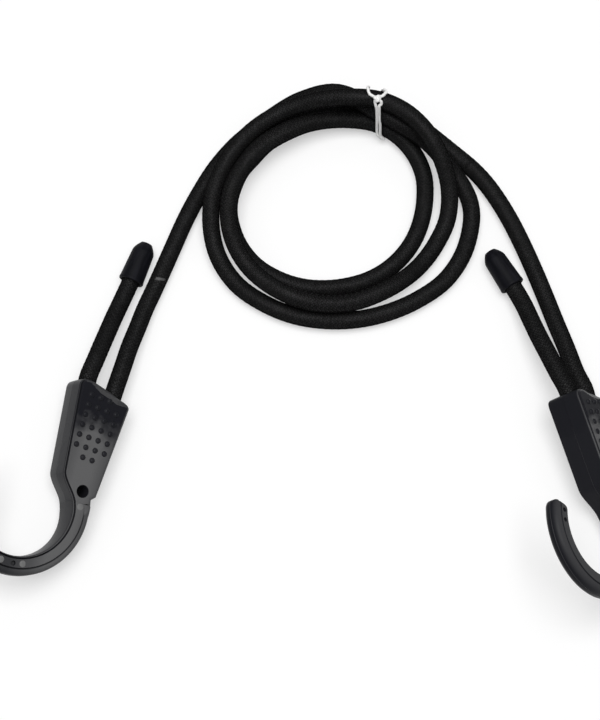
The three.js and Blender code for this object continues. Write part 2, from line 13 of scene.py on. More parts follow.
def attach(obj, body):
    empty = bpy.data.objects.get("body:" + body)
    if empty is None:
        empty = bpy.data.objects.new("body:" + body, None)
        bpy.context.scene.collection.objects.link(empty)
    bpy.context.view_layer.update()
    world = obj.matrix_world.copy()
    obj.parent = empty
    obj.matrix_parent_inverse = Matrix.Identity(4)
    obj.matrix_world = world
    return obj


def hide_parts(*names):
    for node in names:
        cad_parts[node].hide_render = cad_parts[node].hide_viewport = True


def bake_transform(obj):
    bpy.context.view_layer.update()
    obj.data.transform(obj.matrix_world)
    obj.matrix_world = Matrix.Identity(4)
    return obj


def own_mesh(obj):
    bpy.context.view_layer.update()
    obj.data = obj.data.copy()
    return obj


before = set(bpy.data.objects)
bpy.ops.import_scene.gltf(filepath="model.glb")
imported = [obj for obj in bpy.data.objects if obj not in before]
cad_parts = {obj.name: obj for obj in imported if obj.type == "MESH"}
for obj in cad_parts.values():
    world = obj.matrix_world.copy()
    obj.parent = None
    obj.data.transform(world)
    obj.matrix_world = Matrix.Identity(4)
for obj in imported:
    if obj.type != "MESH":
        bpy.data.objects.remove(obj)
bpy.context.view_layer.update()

MM = 0.001  # metres
MIDDLE = np.array([1.5019, -69.9678, 0])  # the frame's origin, as the source measures places

# Camera, light and floor
VIEW_TILT = 15  # degrees from straight down
VIEW_DISTANCE = 800
MM_PER_PIXEL = 0.51  # on the floor, in the middle of the picture
PICTURE_HEIGHT = 720
SENSOR = 36
CLIP_NEAR = 10
CLIP_FAR = 20000
LAMP_PLACE = (0, 120, 1400)
LAMP_TARGET = (0, 70, 0)
LAMP_SIZE = 950
LAMP_POWER = 16  # watts
SKY_HEIGHTS = (0.1, 0.8)  # of a direction, between which the surroundings grow brighter
SKY_STRENGTHS = (0.06, 0.42)
FLOOR_HALF = 2000
FLOOR_DROP = 0.3  # below the frame's floor
FLOOR_GREY = (0.55, 0.55, 0.55)
FLOOR_GLOW = 0.45  # what the floor adds where it is seen, which makes it white

# Colours, as linear red, green and blue
YARN_DARK = (0.019, 0.019, 0.0193)
YARN_PALE = (0.03, 0.03, 0.0305)
YARN_EDGE = (0.003, 0.003, 0.003)
YARN_WORN = (0.036, 0.036, 0.037)
SCUFF_GREY = (0.12, 0.12, 0.12)
HOOK_BLACK = (0.0118, 0.0121, 0.0155)
HOOK_PAINTED_REFLECTION = (0.114, 0.114, 0.116)
MARK_DARK = (0.11, 0.11, 0.11)
MARK_PALE = (0.18, 0.18, 0.18)
CAP_BLACK = (0.004, 0.0042, 0.006)
CAP_STREAK = (0.011, 0.011, 0.015)
TIE_CREAM = (0.86, 0.86, 0.85)
TIE_WHITE = (0.96, 0.96, 0.95)

# Angles between faces, in degrees, over which an edge is drawn sharp
HOOK_CREASE = 30
CAP_CREASE = 40
TIE_CREASE = 60

# Depth of the fine grain on each plastic
HOOK_GRAIN = 0.06
MARK_GRAIN = 0.05
CAP_GRAIN = 0.08
TIE_GRAIN = 0.1

# Cord, as in the source
CORD_DIAMETER = 9
LEG_OUTSIDE = 135
LEFT_TAIL_ROUTE = [
    [-102, -5, 17.8], [-99.5, 3, 15.6], [-97, 11, 13], [-94.5, 19, 10.4], [-91.3, 28, 8],
    [-87, 39, 6.9], [-84.65, 45.2, 6.8], [-82.3, 51.4, 6.75],
]
RIGHT_TAIL_ROUTE = [
    [127.8, -12, 20.4], [123.8, -1.5, 17.4], [120, 8.5, 14.4], [117, 17.5, 11.4], [113.8, 27, 8.6],
    [109.3, 36.5, 7], [105.9, 42.2, 6.8], [102.5, 47.9, 6.75],
]
LEFT_ROUTE = [
    [-89, -6, 10], [-86, 5, 8.4], [-82.5, 15.5, 6.6], [-79, 26, 5.3], [-75.5, 34.5, 4.8],
    [-72, 43, 4.7], [-65, 60.5, 4.7], [-59.5, 74, 4.7], [-53, 87.5, 4.7], [-44, 103, 4.7],
    [-33, 116.5, 4.7], [-22.5, 125.5, 4.7], [-12.5, 133.5, 4.8], [-2.5, 139.5, 6],
    [5.5, 141.7, 8.6], [11.5, 142.4, 11.1], [18.5, 141.8, 13.8], [25, 139.4, 15.5],
    [32.5, 135, 16.1], [39, 130.5, 16.3], [46, 126.5, 16.1], [52.5, 123, 15.4],
    [59.5, 119, 14.3], [66.5, 114, 12.6], [72, 108.6, 11], [77.2, 102.2, 8.9],
    [82.2, 96.4, 6.4], [86, 90.2, 5.3], [88.6, 83, 4.8],
]
RIGHT_ROUTE = [
    [-36.6, 84.5, 4.7], [-34.6, 92.6, 4.7], [-31.1, 100.7, 4.7], [-25.5, 108.3, 4.7],
    [-19.4, 115.3, 4.7], [-11.8, 121.9, 4.7], [-3.1, 127.7, 4.7], [5.5, 132, 4.7],
    [13, 135, 4.8], [21, 137, 5.2], [29, 138, 6], [35.5, 138.7, 6.8], [42, 138, 7],
    [48, 136.3, 6.4], [54, 133, 5.5],
    [60, 129, 4.9], [66.5, 123.5, 4.7], [79, 112.5, 4.7], [90, 102.5, 4.7], [96.5, 95, 4.7],
    [102.5, 86, 4.7], [109, 74, 4.7], [115, 60.5, 4.7], [120.5, 46.5, 4.7], [125.5, 32.5, 4.9],
    [130, 18.5, 6], [134.5, 4.5, 8], [138.6, -9.5, 10.2],
]
COIL_X = 20
COIL_Y = 81
COIL_STATIONS = 12
COIL_RADII = [
    69.5, 68.5, 63, 61.5, 64, 68, 65.7, 60.5, 56.5, 52.5, 56, 56.5,
    57.5, 53.2, 52.5, 54.8, 56.8, 58.4, 56.4, 50.6, 46.5, 47.1, 50.5, 49.2,
    44.5, 42.6, 42.4, 43.8, 48.6, 54.6, 57.1,
]
COIL_HEIGHTS = [
    4.7, 4.7, 4.7, 4.7, 4.7, 5.4, 10.4, 14.6, 16.6, 25.2, 25.5, 22.9,
    9.5, 4.8, 10.6, 11.8, 13.2, 14.3, 15.3, 15.8, 13.9, 9.6, 6.4, 4.8,
    4.7, 4.7, 4.7, 4.7, 4.7, 4.7, 4.7,
]
COIL_FROM = 0.2
COIL_TO = 29.8
COIL_POINTS_PER_STATION = 2

# Cord details
ROUTE_STEPS = 60  # from one point of the route to the next
RING_STEP = 0.8
CORD_SIDES = 56
INSIDE_HOOK = 10  # length of a tail or leg that reaches into its hook
DRAWN_IN_LENGTH = 12  # at each end of the cord, inside its cap
DRAWN_IN_END = 0.45  # share of the cord's width that is left at its very ends
PRESSED_WIDER = 0.09  # share by which the coil's inner turns are wider where others press on them
PRESSED_BETWEEN = [112, 124, 148, 158]  # degrees round the coil, where that starts, is full and ends
PRESSED_WITHIN = 54.5  # of the coil's middle

# Woven sleeve
BRAID_STRANDS = 14  # in each direction
BRAID_PITCH = 3.2
BRAID_RELIEF = 0.07
BRAID_SUNK = 0.3  # share of the relief, from the cord's radius in to the weave's middle
YARNS_ROUND = 18
YARN_LENGTH = 0.95
YARN_SLANT = 0.8  # of a yarn's length
YARN_GAP = 0.14  # of a yarn's width
YARN_RELIEF = 0.3
STREAK_STRETCH = 20  # yarns along the cord for each yarn round it
SCUFF_AT = 204  # along the cord, where the turn starts that holds the pale scuff
SCUFF_SLANT = 9  # along the cord, in one turn
SCUFF_TURN = 0.625  # turns to the scuff's middle
SCUFF_HALF_WIDTH = (0.5, 0.9)  # inside and outside its soft edge
SCUFF_HALF_LENGTH = (0.07, 0.105)  # turns, inside and outside its soft ends

# Hook, as in the source
GRIP_THICKNESS = 19
MOUTH_HALF_WIDTH = 15
MOUTH_TOP = 21
MOUTH_ROUNDING = 4
SPINE_TOP_X = 14
SPINE_TOP_Y = 13.5
SPINE_TOP_ROUNDING = 3
SPINE_FOOT_X = 10.6
SPINE_FOOT_Y = -33
SPINE_STEP = 2
SHOULDER_HALF_WIDTH = 10
SHOULDER_Y = -25.5
NECK_EASE = 4.5
COVER_END_Y = -38
HOLE_DIAMETER = 6
HOLE_X = 2.6
HOLE_Y = -32.3
BOWL_X = -22
BOWL_Y = -48
BOWL_RADIUS = 23.3
ARM_WIDTH = 9.4
ARM_TIP_THICKNESS = 8
ARM_START = 20
ARM_SWEEP = 233
ARM_OVERLAP = 4
ARM_TAPER = 3.2
ARM_TIP_LIFT = 0.6
TIP_ROUNDING = 3.6
PASSAGE_CLEARANCE = 0.5
POST_RADIUS = 1.2
TURN_Y = -5
MOUTH_WALL = 1.5
SPINE_WALL = 2
MOUTH_EXIT_Y = 24
DOT_DIAMETER = 2.4
DOT_PITCH = 5.1
DOT_COLUMNS = 4
DOT_ROWS = 7
DOT_TOP_ROW_Y = 14
DOT_TOP_MARGIN = 2.6
DOT_SIDE_MARGIN = 2.3
HOOK_POSES = {
    "left": {"x": -104, "y": -38.7, "z": 14.9312, "heading": -14.8, "roll": 31.5},
    "right": {"x": 142.9, "y": -42.4, "z": 16.1192, "heading": 13.5, "roll": 45},
}

# Hook details
OUTLINE_STEP = 0.8
NECK_STEPS = 14
SPINE_CORNER_STEPS = 5
MOUTH_STEPS = 28
MOUTH_CORNER_STEPS = 8
ARM_STEPS = 96
TIP_STEPS = 8
HOLE_SIDES = 48
DOT_SIDES = 20
EJECTOR_SIDES = 28
PASSAGE_SIDES = 32
PASSAGE_STEPS = 6  # from one point of the cord's turn to the next
PARTING_GAP = 0.1
COVER_END_GAP = 0.06
HOLE_CHAMFER = 0.25
CUT_PAST = 0.5  # how far a cut starts above the face
FAR = 200  # past every part of a hook

# Grip's rounded edges: places in from its outline and below its face, or above its back
BACK_EDGE = [(1.3, 0), (0.55, 0.3), (0.2, 0.95)]
WALL_EDGE = [(0.2, 1.4), (0.32, 0.95), (0.6, 0.62), (0.7, 0.53)]
GROOVE_PLACE = (1.08, 0.26)
FACE_EDGE = [(1.45, 0.09), (2, 0)]
FLAT_FROM = 2.2  # in from the outline, where the flat face starts
GROOVE_DEPTH = 1.6
WALL_HALF = 0.2  # height of the wall's plain middle, each way from the parting
BURIED_DEPTH = 2.2  # how far the grip's end stays below the arm's face
TOP_CHAMFER = 2.4
TOP_CHAMFER_FROM = 0.6  # in from the outline
TOP_CHAMFER_WIDTH = 3.6
TOP_CHAMFER_AT = [-9, -2, 8, 12.5]  # across the mouth, where it starts, is full and ends
SHARPEST = 0.6  # keeps a sharp corner of the outline from running far off when it is drawn in

# Arm's section: places in from its outside or inside, and below its face or above its back
ARM_OUTER_FACE = [(0.05, 2.9), (0.4, 1.9), (1.1, 1.0), (2.1, 0.42), (3.1, 0.15)]
ARM_GROOVE_IN = 3.5
ARM_GROOVE_DEPTH = 0.9
ARM_GROOVE_LEAST = 0.15
ARM_FLAT_IN = 3.9
ARM_INNER_TOP = 1.5  # below the face, where the inside's wall starts
ARM_INNER_BACK = [(0.05, 1.5), (0.5, 0.4), (1.1, 0)]
ARM_OUTER_BACK = [(2.5, 0), (1.3, 0.5), (0.45, 1.5)]
ARM_OUTER_FOOT = 2.5  # above the back, where the outside's wall starts
ARM_SLOPE = 0.05  # how far a wall's edge lies in from its middle
ARM_CROWN_OUT = 0.15  # bulge of the outside
ARM_CROWN_IN = 0.1  # bulge of the inside
ARM_PROUD = 0.02  # thickness over the grip's
ARM_LEAST_BEVEL = 0.3  # share of the bevel at the root

# Along the arm, as shares of its length
ARM_ROOT = 0.015  # reaches back into the grip
ARM_HOLD = 0.035  # keeps the grip's thickness
ARM_EASE_FROM = 0.005  # where the bevel and the outer groove start to grow
ARM_EASE = 0.045  # over which they grow

# Dots, pin holes and ejector marks
DOT_BASE_DIAMETER = 2.9
DOT_PROFILE = [  # share of the base's radius, and height
    (1, -0.8), (1, 0), (0.93, 0.3), (0.78, 0.58), (0.55, 0.77), (0.28, 0.87), (0.02, 0.9),
]
FACE_MIDDLE = -1.1  # of the arm, out from its middle
PIN_HOLES = [(-83.5, 2.4), (-203, 2.2), (-192.5, 2.2)]  # degrees round the bowl, and diameter
PIN_HOLE_DEPTH = 2
EJECTOR_ANGLES = [17.7, -73.5, -97]  # degrees round the bowl
EJECTOR_DIAMETER = 3.2
EJECTOR_PROFILE = [(0, -0.3), (0, 0.03), (0.12, 0.07), (1.55, 0.07)]  # in from its edge, and height

# Pale painted reflection on each hook, set apart as a lit copy on the left hook and a shaded one on the
# right: where it starts and is full, its drop beside the middle, and its share there
PAINTED_REFLECTION = {
    "left": {"start": 16.5, "full": 5.5, "lower_beside": 0.35, "at_sides": 0.6},
    "right": {"start": 16.5, "full": 9.5, "lower_beside": 0, "at_sides": 0.9},
}
PAINTED_REFLECTION_DRIFT = 22  # how far clouds move its start
PAINTED_REFLECTION_SIDES = (4, 11)  # from the grip's middle, where it thins towards the sides
PAINTED_REFLECTION_TIP = (-21, -12)  # across the hook, where it thins towards the arm's tip
PAINTED_REFLECTION_AT_TIP = 0.4
PAINTED_REFLECTION_ON_DOTS = (0.1, 0.4)  # above the grip's face, where it thins up a dot
PAINTED_REFLECTION_ON_DOT_TOPS = 0.1

# End cap, as in the source
CAP_LENGTH = 22
CAP_WALL = 1.7
CAP_SOCKET_DEPTH = 13
CAP_DOME = 5.4
CAP_TIP_DIAMETER = 5.8
CAP_GAP = 0.3  # GAP in the source

# Cap details
CAP_SIDES = 64
CAP_CLOSED_END = 0.05  # radius of the flats that close the turned shape
CAP_WALL_STEPS = 6
CAP_DOME_STEPS = 14
CAP_STREAKS = (420, 60, 420)  # for each metre across and along
CAP_DRAFT = 0.75  # off the radius, from the mouth to the nose
CAP_LIP_INSIDE = [(0, 0.8), (0.5, 0.15)]  # out from the socket, and in from the mouth
CAP_LIP_OUTSIDE = [(0.7, 0), (0.2, 0.25), (0, 0.8), (0.1, 1.6), (0.2, 2.2)]  # in, and along
CAP_BULGE = 0.15  # in from the wall, where the dome's curve is drawn to
CAP_BULGE_AT = 0.34  # share of the dome
CAP_NOSE = [(0.35, 0.45), (0.1, 0.12), (-0.3, 0)]  # out from the tip's radius, and back from the end

# Tie, as in the source
TIE_DIAMETER = 1.5
TIE_SLACK = 0.5
TIE_FLOOR_GAP = 0.2
TIE_X = 40.5
TIE_Y = 130
TIE_HEADING = 8
TIE_REACH = 32

# Tie details; each strand is a list of turns from the knot and places along
TIE_SIDES = 16
TIE_STEPS = 72
TIE_SMOOTHING = 3  # points for each step
KNOT_STEPS = 90
KNOT_ANGLE = 110
KNOT_PLACE = -1
KNOT_SCALE = 0.5
KNOT_LIFT = 1.6
KNOT_SPAN = 0.05  # turns on each side of the knot, over which the strands rise to it
KNOT_RISE = 0.8
TIE_STRANDS = {
    "left": [
        (0, -1.6), (0.02, -2.1), (0.06, -2.2), (0.12, -1.9), (0.17, -1.2), (0.21, -0.4), (0.25, 0.6),
        (0.37, 0.6), (0.56, -0.6), (0.68, -2.6), (0.76, -4), (0.83, -4.8), (0.92, -4.8), (0.965, -4.1),
        (1, -1.6),
    ],
    "right": [
        (0, -0.4), (0.025, 0.9), (0.06, 0.9), (0.1, -0.35), (0.14, -0.2), (0.17, 0.3), (0.21, 1.1),
        (0.25, 2.1), (0.37, 2.4), (0.56, 1.4), (0.68, 2.6), (0.78, 4.4), (0.85, 4.4), (0.92, 2.6),
        (1, -0.4),
    ],
}

cord_radius = CORD_DIAMETER / 2
passage_half = cord_radius + PASSAGE_CLEARANCE
turn_radius = POST_RADIUS + passage_half
tail_mouth_x = passage_half + MOUTH_WALL - MOUTH_HALF_WIDTH
leg_mouth_x = SPINE_TOP_X - SPINE_WALL - passage_half
arm_radius = BOWL_RADIUS + ARM_WIDTH / 2


# Small tools


def lerp(a, b, share):
    return a + (b - a) * share


def unit(vector):
    return vector / np.linalg.norm(vector)


def metres(span):
    return [value * MM for value in span]


def in_frame(points):
    return (np.asarray(points, float) - MIDDLE) * MM


def make_object(name, mesh):
    piece = bpy.data.objects.new(name, mesh)
    bpy.context.scene.collection.objects.link(piece)
    return piece


def ring_faces(count, sides):
    """The faces over a row of closed rings, with a lid on each end."""
    i, j = np.meshgrid(np.arange(count - 1) * sides, np.arange(sides), indexing="ij")
    k = (j + 1) % sides
    faces = np.stack([i + j, i + k, i + sides + k, i + sides + j], axis=-1).reshape(-1, 4).tolist()
    faces.append(list(range(sides - 1, -1, -1)))
    faces.append(list(range((count - 1) * sides, count * sides)))
    return faces


def loft(rings):
    """A closed mesh, in metres, over closed rings that have the same number of points."""
    verts = [tuple(np.asarray(p) * MM) for ring in rings for p in ring]
    mesh = bpy.data.meshes.new("loft")
    mesh.from_pydata(verts, [], ring_faces(len(rings), len(rings[0])))
    shell = bmesh.new()
    shell.from_mesh(mesh)
    bmesh.ops.recalc_face_normals(shell, faces=shell.faces)
    shell.to_mesh(mesh)
    shell.free()
    return mesh


def lathe(profile, sides, place):
    """A closed mesh over a profile of radii and heights; place turns x, y and height into a point."""
    rings = []
    for radius, height in profile:
        angles = [2 * math.pi * j / sides for j in range(sides)]
        rings.append([place(radius * math.cos(a), radius * math.sin(a), height) for a in angles])
    return loft(rings)


def joined(meshes):
    whole = bmesh.new()
    for mesh in meshes:
        whole.from_mesh(mesh)
    result = bpy.data.meshes.new("joined")
    whole.to_mesh(result)
    whole.free()
    return result


def boolean(mesh, other, operation):
    base = make_object("base", mesh)
    tool = make_object("tool", other)
    step = base.modifiers.new("boolean", "BOOLEAN")
    step.operation = operation
    step.solver = "MANIFOLD"
    step.object = tool
    bpy.context.view_layer.update()
    made = base.evaluated_get(bpy.context.evaluated_depsgraph_get())
    result = bpy.data.meshes.new_from_object(made)
    bpy.data.objects.remove(base)
    bpy.data.objects.remove(tool)
    return result


def box_mesh(low, high):
    corners = ((low[0], low[1]), (high[0], low[1]), (high[0], high[1]), (low[0], high[1]))
    return loft([[(x, y, z) for x, y in corners] for z in (low[2], high[2])])


def smooth(piece, angle):
    """Smooth shading with creases over the angle in degrees, and flat faces kept flat."""
    piece.data.shade_smooth()
    piece.data.set_sharp_from_angle(angle=math.radians(angle))
    weighted = piece.modifiers.new("normals", "WEIGHTED_NORMAL")
    weighted.keep_sharp = True


# Materials


class Finish:
    """A material and its node tree."""

    def __init__(self, name):
        self.material = bpy.data.materials.new(name)
        self.material.use_nodes = True
        self.tree = self.material.node_tree
        self.shader = self.tree.nodes["Principled BSDF"]

    def set(self, name, value):
        self.shader.inputs[name].default_value = value

    def add(self, kind, inputs=(), **settings):
        node = self.tree.nodes.new(kind)
        for key, value in settings.items():
            setattr(node, key, value)
        for key, value in dict(inputs).items():
            if isinstance(value, bpy.types.NodeSocket):
                self.tree.links.new(value, node.inputs[key])
            else:
                node.inputs[key].default_value = value
        return node

    def math(self, operation, a, b=0.0):
        return self.add("ShaderNodeMath", {0: a, 1: b}, operation=operation).outputs[0]

    def axes(self, vector):
        return self.add("ShaderNodeSeparateXYZ", {"Vector": vector}).outputs

    def place(self):
        return self.add("ShaderNodeTexCoord").outputs["Object"]

    def noise(self, vector, scale, detail=3):
        """Soft lumps, about as many for each unit of the vector as the scale says."""
        inputs = {"Vector": vector, "Scale": scale, "Detail": detail}
        return self.add("ShaderNodeTexNoise", inputs).outputs["Fac"]

    def ramp(self, value, span, results):
        """Goes from the first result to the second while the value crosses the span."""
        inputs = {"Value": value, "From Min": span[0], "From Max": span[1]}
        inputs.update({"To Min": results[0], "To Max": results[1]})
        return self.add("ShaderNodeMapRange", inputs).outputs["Result"]

    def mix(self, share, a, b):
        """A mix of two colours, each given as a colour or a socket."""
        a, b = [c if isinstance(c, bpy.types.NodeSocket) else (*c, 1) for c in (a, b)]
        return self.add("ShaderNodeMix", {0: share, 6: a, 7: b}, data_type="RGBA").outputs[2]

    def link(self, socket, name):
        self.tree.links.new(socket, self.shader.inputs[name])

    def bump(self, height, distance, strength):
        inputs = {"Height": height, "Distance": distance, "Strength": strength}
        self.link(self.add("ShaderNodeBump", inputs).outputs["Normal"], "Normal")


def sleeve_finish():
    """Black woven sleeve: short yarns in staggered rows round the cord, with one pale scuff."""
    finish = Finish("woven_sleeve")
    finish.set("Specular IOR Level", 0)
    finish.set("Metallic", 0.65)
    finish.set("Specular Tint", (0.1, 0.1, 0.1, 1))  # darkens the sides of the cord
    parts = finish.axes(finish.add("ShaderNodeUVMap", uv_map="cord").outputs["UV"])
    turn = parts["X"]
    length = parts["Y"]
    columns = finish.math("MULTIPLY", turn, YARNS_ROUND)
    rows = finish.math("MULTIPLY", length, 1 / (YARN_LENGTH * MM))
    slant = finish.math("PINGPONG", columns, 1)
    slanted = finish.math("ADD", rows, finish.math("MULTIPLY", slant, YARN_SLANT))
    place = finish.add("ShaderNodeCombineXYZ", {"X": columns, "Y": slanted}).outputs["Vector"]
    yarns = finish.add(
        "ShaderNodeTexBrick",
        {
            "Vector": place,
            "Scale": 1,
            "Mortar Size": YARN_GAP,
            "Mortar Smooth": 0.7,
            "Brick Width": 1,
            "Row Height": 1,
            "Color1": (*YARN_DARK, 1),
            "Color2": (*YARN_PALE, 1),
            "Mortar": (*YARN_EDGE, 1),
        },
    )
    drawn_out = finish.math("MULTIPLY", rows, 1 / STREAK_STRETCH)
    stretched = finish.add("ShaderNodeCombineXYZ", {"X": columns, "Y": drawn_out})
    streak = finish.noise(stretched.outputs["Vector"], 1.3, 4)
    worn = finish.ramp(streak, (0.5, 0.8), (0, 0.35))
    woven = finish.mix(worn, yarns.outputs["Color"], YARN_WORN)
    slope = finish.math("MULTIPLY", turn, SCUFF_SLANT * MM)
    beside = finish.math("SUBTRACT", finish.math("SUBTRACT", length, slope), SCUFF_AT * MM)
    across = finish.math("SUBTRACT", turn, SCUFF_TURN)
    near = finish.ramp(finish.math("ABSOLUTE", beside), metres(SCUFF_HALF_WIDTH), (1, 0))
    inside = finish.ramp(finish.math("ABSOLUTE", across), SCUFF_HALF_LENGTH, (1, 0))
    scuff = finish.math("MULTIPLY", near, inside)
    finish.link(finish.mix(scuff, woven, SCUFF_GREY), "Base Color")
    finish.link(finish.ramp(streak, (0.3, 0.7), (0.62, 0.5)), "Roughness")
    raised = finish.math("SUBTRACT", 1, yarns.outputs["Fac"])
    finish.bump(raised, YARN_RELIEF * MM, 0.85)
    return finish.material


def hook_finish(side):
    """Black moulded plastic with a fine grain, with a pale painted reflection lower down the grip and
    where its edges turn, and painted shade in the hole.
    """
    look = PAINTED_REFLECTION[side]
    finish = Finish(side + "_hook_plastic")
    finish.set("Specular IOR Level", 0.06)
    coordinates = finish.add("ShaderNodeTexCoord")
    place = coordinates.outputs["Object"]
    cloud = finish.noise(place, 110)
    parts = finish.axes(place)
    sideways = finish.math("ABSOLUTE", parts["X"])
    beside = finish.math("MULTIPLY", sideways, look["lower_beside"])
    drift = finish.math("MULTIPLY", cloud, PAINTED_REFLECTION_DRIFT * MM)
    drifted = finish.math("ADD", finish.math("ADD", parts["Y"], drift), beside)
    # Painted reflection of a bright light, low on the grip's face, with a start that clouds move
    lower = finish.ramp(drifted, metres((look["start"], look["full"])), (0, 1))
    facing = finish.axes(coordinates.outputs["Normal"])["Z"]
    # Painted reflection on the walls and rounded edges that turn away from the face
    edges = finish.ramp(facing, (0.98, 0.93), (0, 0.6))
    face = GRIP_THICKNESS / 2
    up_dot = metres((face + PAINTED_REFLECTION_ON_DOTS[0], face + PAINTED_REFLECTION_ON_DOTS[1]))
    # Painted shade inside the hole: the pale painted reflection stops at its rim, so the bore stays
    # black
    hole = (HOLE_X * MM, HOLE_Y * MM, 0)
    rim = HOLE_DIAMETER / 2
    flat = finish.add("ShaderNodeVectorMath", {0: place, 1: (1, 1, 0)}, operation="MULTIPLY")
    from_hole = finish.add("ShaderNodeVectorMath", {0: flat.outputs[0], 1: hole}, operation="DISTANCE")
    outside_hole = finish.ramp(from_hole.outputs["Value"], metres((rim, rim + HOLE_CHAMFER)), (0, 1))
    painted_reflection = finish.math("MAXIMUM", lower, edges)
    for share in (
        finish.ramp(facing, (0.15, 0.95), (0.05, 1)),
        finish.ramp(parts["Z"], up_dot, (1, PAINTED_REFLECTION_ON_DOT_TOPS)),
        finish.ramp(sideways, metres(PAINTED_REFLECTION_SIDES), (1, look["at_sides"])),
        finish.ramp(parts["X"], metres(PAINTED_REFLECTION_TIP), (PAINTED_REFLECTION_AT_TIP, 1)),
        outside_hole,
    ):
        painted_reflection = finish.math("MULTIPLY", painted_reflection, share)
    finish.link(finish.mix(painted_reflection, HOOK_BLACK, HOOK_PAINTED_REFLECTION), "Base Color")
    satin = finish.ramp(painted_reflection, (0, 1), (0.3, 0.42))
    in_hole = finish.math("SUBTRACT", 1, outside_hole)
    finish.link(finish.math("MAXIMUM", satin, in_hole), "Roughness")
    finish.bump(finish.noise(place, 1400, 2), HOOK_GRAIN * MM, 0.5)
    return finish.material


def cap_finish():
    """Blue-black dipped plastic with faint streaks along it."""
    finish = Finish("cap_plastic")
    finish.set("Specular IOR Level", 0.08)
    place = finish.place()
    stretch = finish.add("ShaderNodeMapping", {"Vector": place, "Scale": CAP_STREAKS})
    streak = finish.noise(stretch.outputs["Vector"], 1, 4)
    shade = finish.ramp(streak, (0.4, 0.75), (0, 1))
    finish.link(finish.mix(shade, CAP_BLACK, CAP_STREAK), "Base Color")
    finish.link(finish.ramp(streak, (0.3, 0.7), (0.45, 0.65)), "Roughness")
    finish.bump(finish.noise(place, 900, 2), CAP_GRAIN * MM, 0.4)
    return finish.material


def tie_finish():
    """White plastic line that lets a little light in."""
    finish = Finish("tie_line")
    finish.set("Roughness", 0.42)
    finish.set("Subsurface Weight", 0.25)
    finish.set("Subsurface Radius", metres((2, 2, 2)))
    place = finish.place()
    cloud = finish.noise(place, 500)
    shade = finish.ramp(cloud, (0.35, 0.7), (0, 1))
    finish.link(finish.mix(shade, TIE_CREAM, TIE_WHITE), "Base Color")
    finish.bump(cloud, TIE_GRAIN * MM, 0.4)
    return finish.material


def mark_finish():
    """The duller, paler skin that an ejector pin leaves."""
    finish = Finish("ejector_mark")
    finish.set("Roughness", 0.6)
    place = finish.place()
    cloud = finish.noise(place, 700)
    finish.link(finish.mix(cloud, MARK_DARK, MARK_PALE), "Base Color")
    finish.bump(cloud, MARK_GRAIN * MM, 0.5)
    return finish.material


sleeve = sleeve_finish()
# The two hooks get a lit and a shaded copy of one plastic, which differ only in their painted
# reflection
hook_plastic = {side: hook_finish(side) for side in HOOK_POSES}
cap_plastic = cap_finish()
tie_line = tie_finish()
ejector_mark = mark_finish()


# Camera, light and floor


def add_camera():
    tilt = math.radians(VIEW_TILT)
    camera = bpy.data.cameras.new("camera")
    camera.sensor_width = SENSOR
    camera.lens = SENSOR * VIEW_DISTANCE / (PICTURE_HEIGHT * MM_PER_PIXEL)
    camera.clip_start = CLIP_NEAR * MM
    camera.clip_end = CLIP_FAR * MM
    holder = make_object("camera", camera)
    away = np.array([0, -math.sin(tilt), math.cos(tilt)])
    holder.location = in_frame(VIEW_DISTANCE * away)
    holder.rotation_euler = (tilt, 0, 0)
    bpy.context.scene.camera = holder


def add_lamp():
    lamp = bpy.data.lights.new("overhead", "AREA")
    lamp.size = LAMP_SIZE * MM
    lamp.energy = LAMP_POWER
    holder = make_object("overhead", lamp)
    place = Vector(metres(LAMP_PLACE))
    toward = Vector(metres(LAMP_TARGET)) - place
    holder.location = place
    holder.rotation_euler = toward.to_track_quat("-Z", "Y").to_euler()


def add_world():
    """White surroundings, dim at the horizon and brighter overhead."""
    world = bpy.data.worlds.new("studio")
    bpy.context.scene.world = world
    world.use_nodes = True
    tree = world.node_tree
    place = tree.nodes.new("ShaderNodeTexCoord")
    parts = tree.nodes.new("ShaderNodeSeparateXYZ")
    ramp = tree.nodes.new("ShaderNodeMapRange")
    limits = ("From Min", "From Max", "To Min", "To Max")
    for name, value in zip(limits, SKY_HEIGHTS + SKY_STRENGTHS):
        ramp.inputs[name].default_value = value
    background = tree.nodes["Background"]
    background.inputs["Color"].default_value = (1, 1, 1, 1)
    tree.links.new(place.outputs["Generated"], parts.inputs["Vector"])
    tree.links.new(parts.outputs["Z"], ramp.inputs["Value"])
    tree.links.new(ramp.outputs["Result"], background.inputs["Strength"])


def add_floor():
    half = FLOOR_HALF * MM
    mesh = bpy.data.meshes.new("floor")
    corners = [(-half, -half, 0), (half, -half, 0), (half, half, 0), (-half, half, 0)]
    mesh.from_pydata(corners, [], [(0, 1, 2, 3)])
    floor = make_object("floor", mesh)
    floor.location.z = -FLOOR_DROP * MM
    finish = Finish("pale_floor")
    finish.set("Base Color", (*FLOOR_GREY, 1))
    finish.set("Roughness", 0.9)
    finish.set("Specular IOR Level", 0)
    finish.set("Emission Color", (1, 1, 1, 1))
    rays = finish.add("ShaderNodeLightPath")
    seen = finish.math("MAXIMUM", rays.outputs["Is Camera Ray"], rays.outputs["Is Glossy Ray"])
    finish.link(finish.math("MULTIPLY", seen, FLOOR_GLOW), "Emission Strength")
    mesh.materials.append(finish.material)


bpy.context.scene.view_settings.view_transform = "Standard"
add_camera()
add_world()
add_floor()
add_lamp()


# Route of the cord


def between(start, rise, leave, arrive, t):
    """The cubic curve that rises from the start and has the given slopes at its ends."""
    bend = 3 * rise - 2 * leave - arrive
    twist = leave + arrive - 2 * rise
    return start + t * (leave + t * (bend + t * twist))


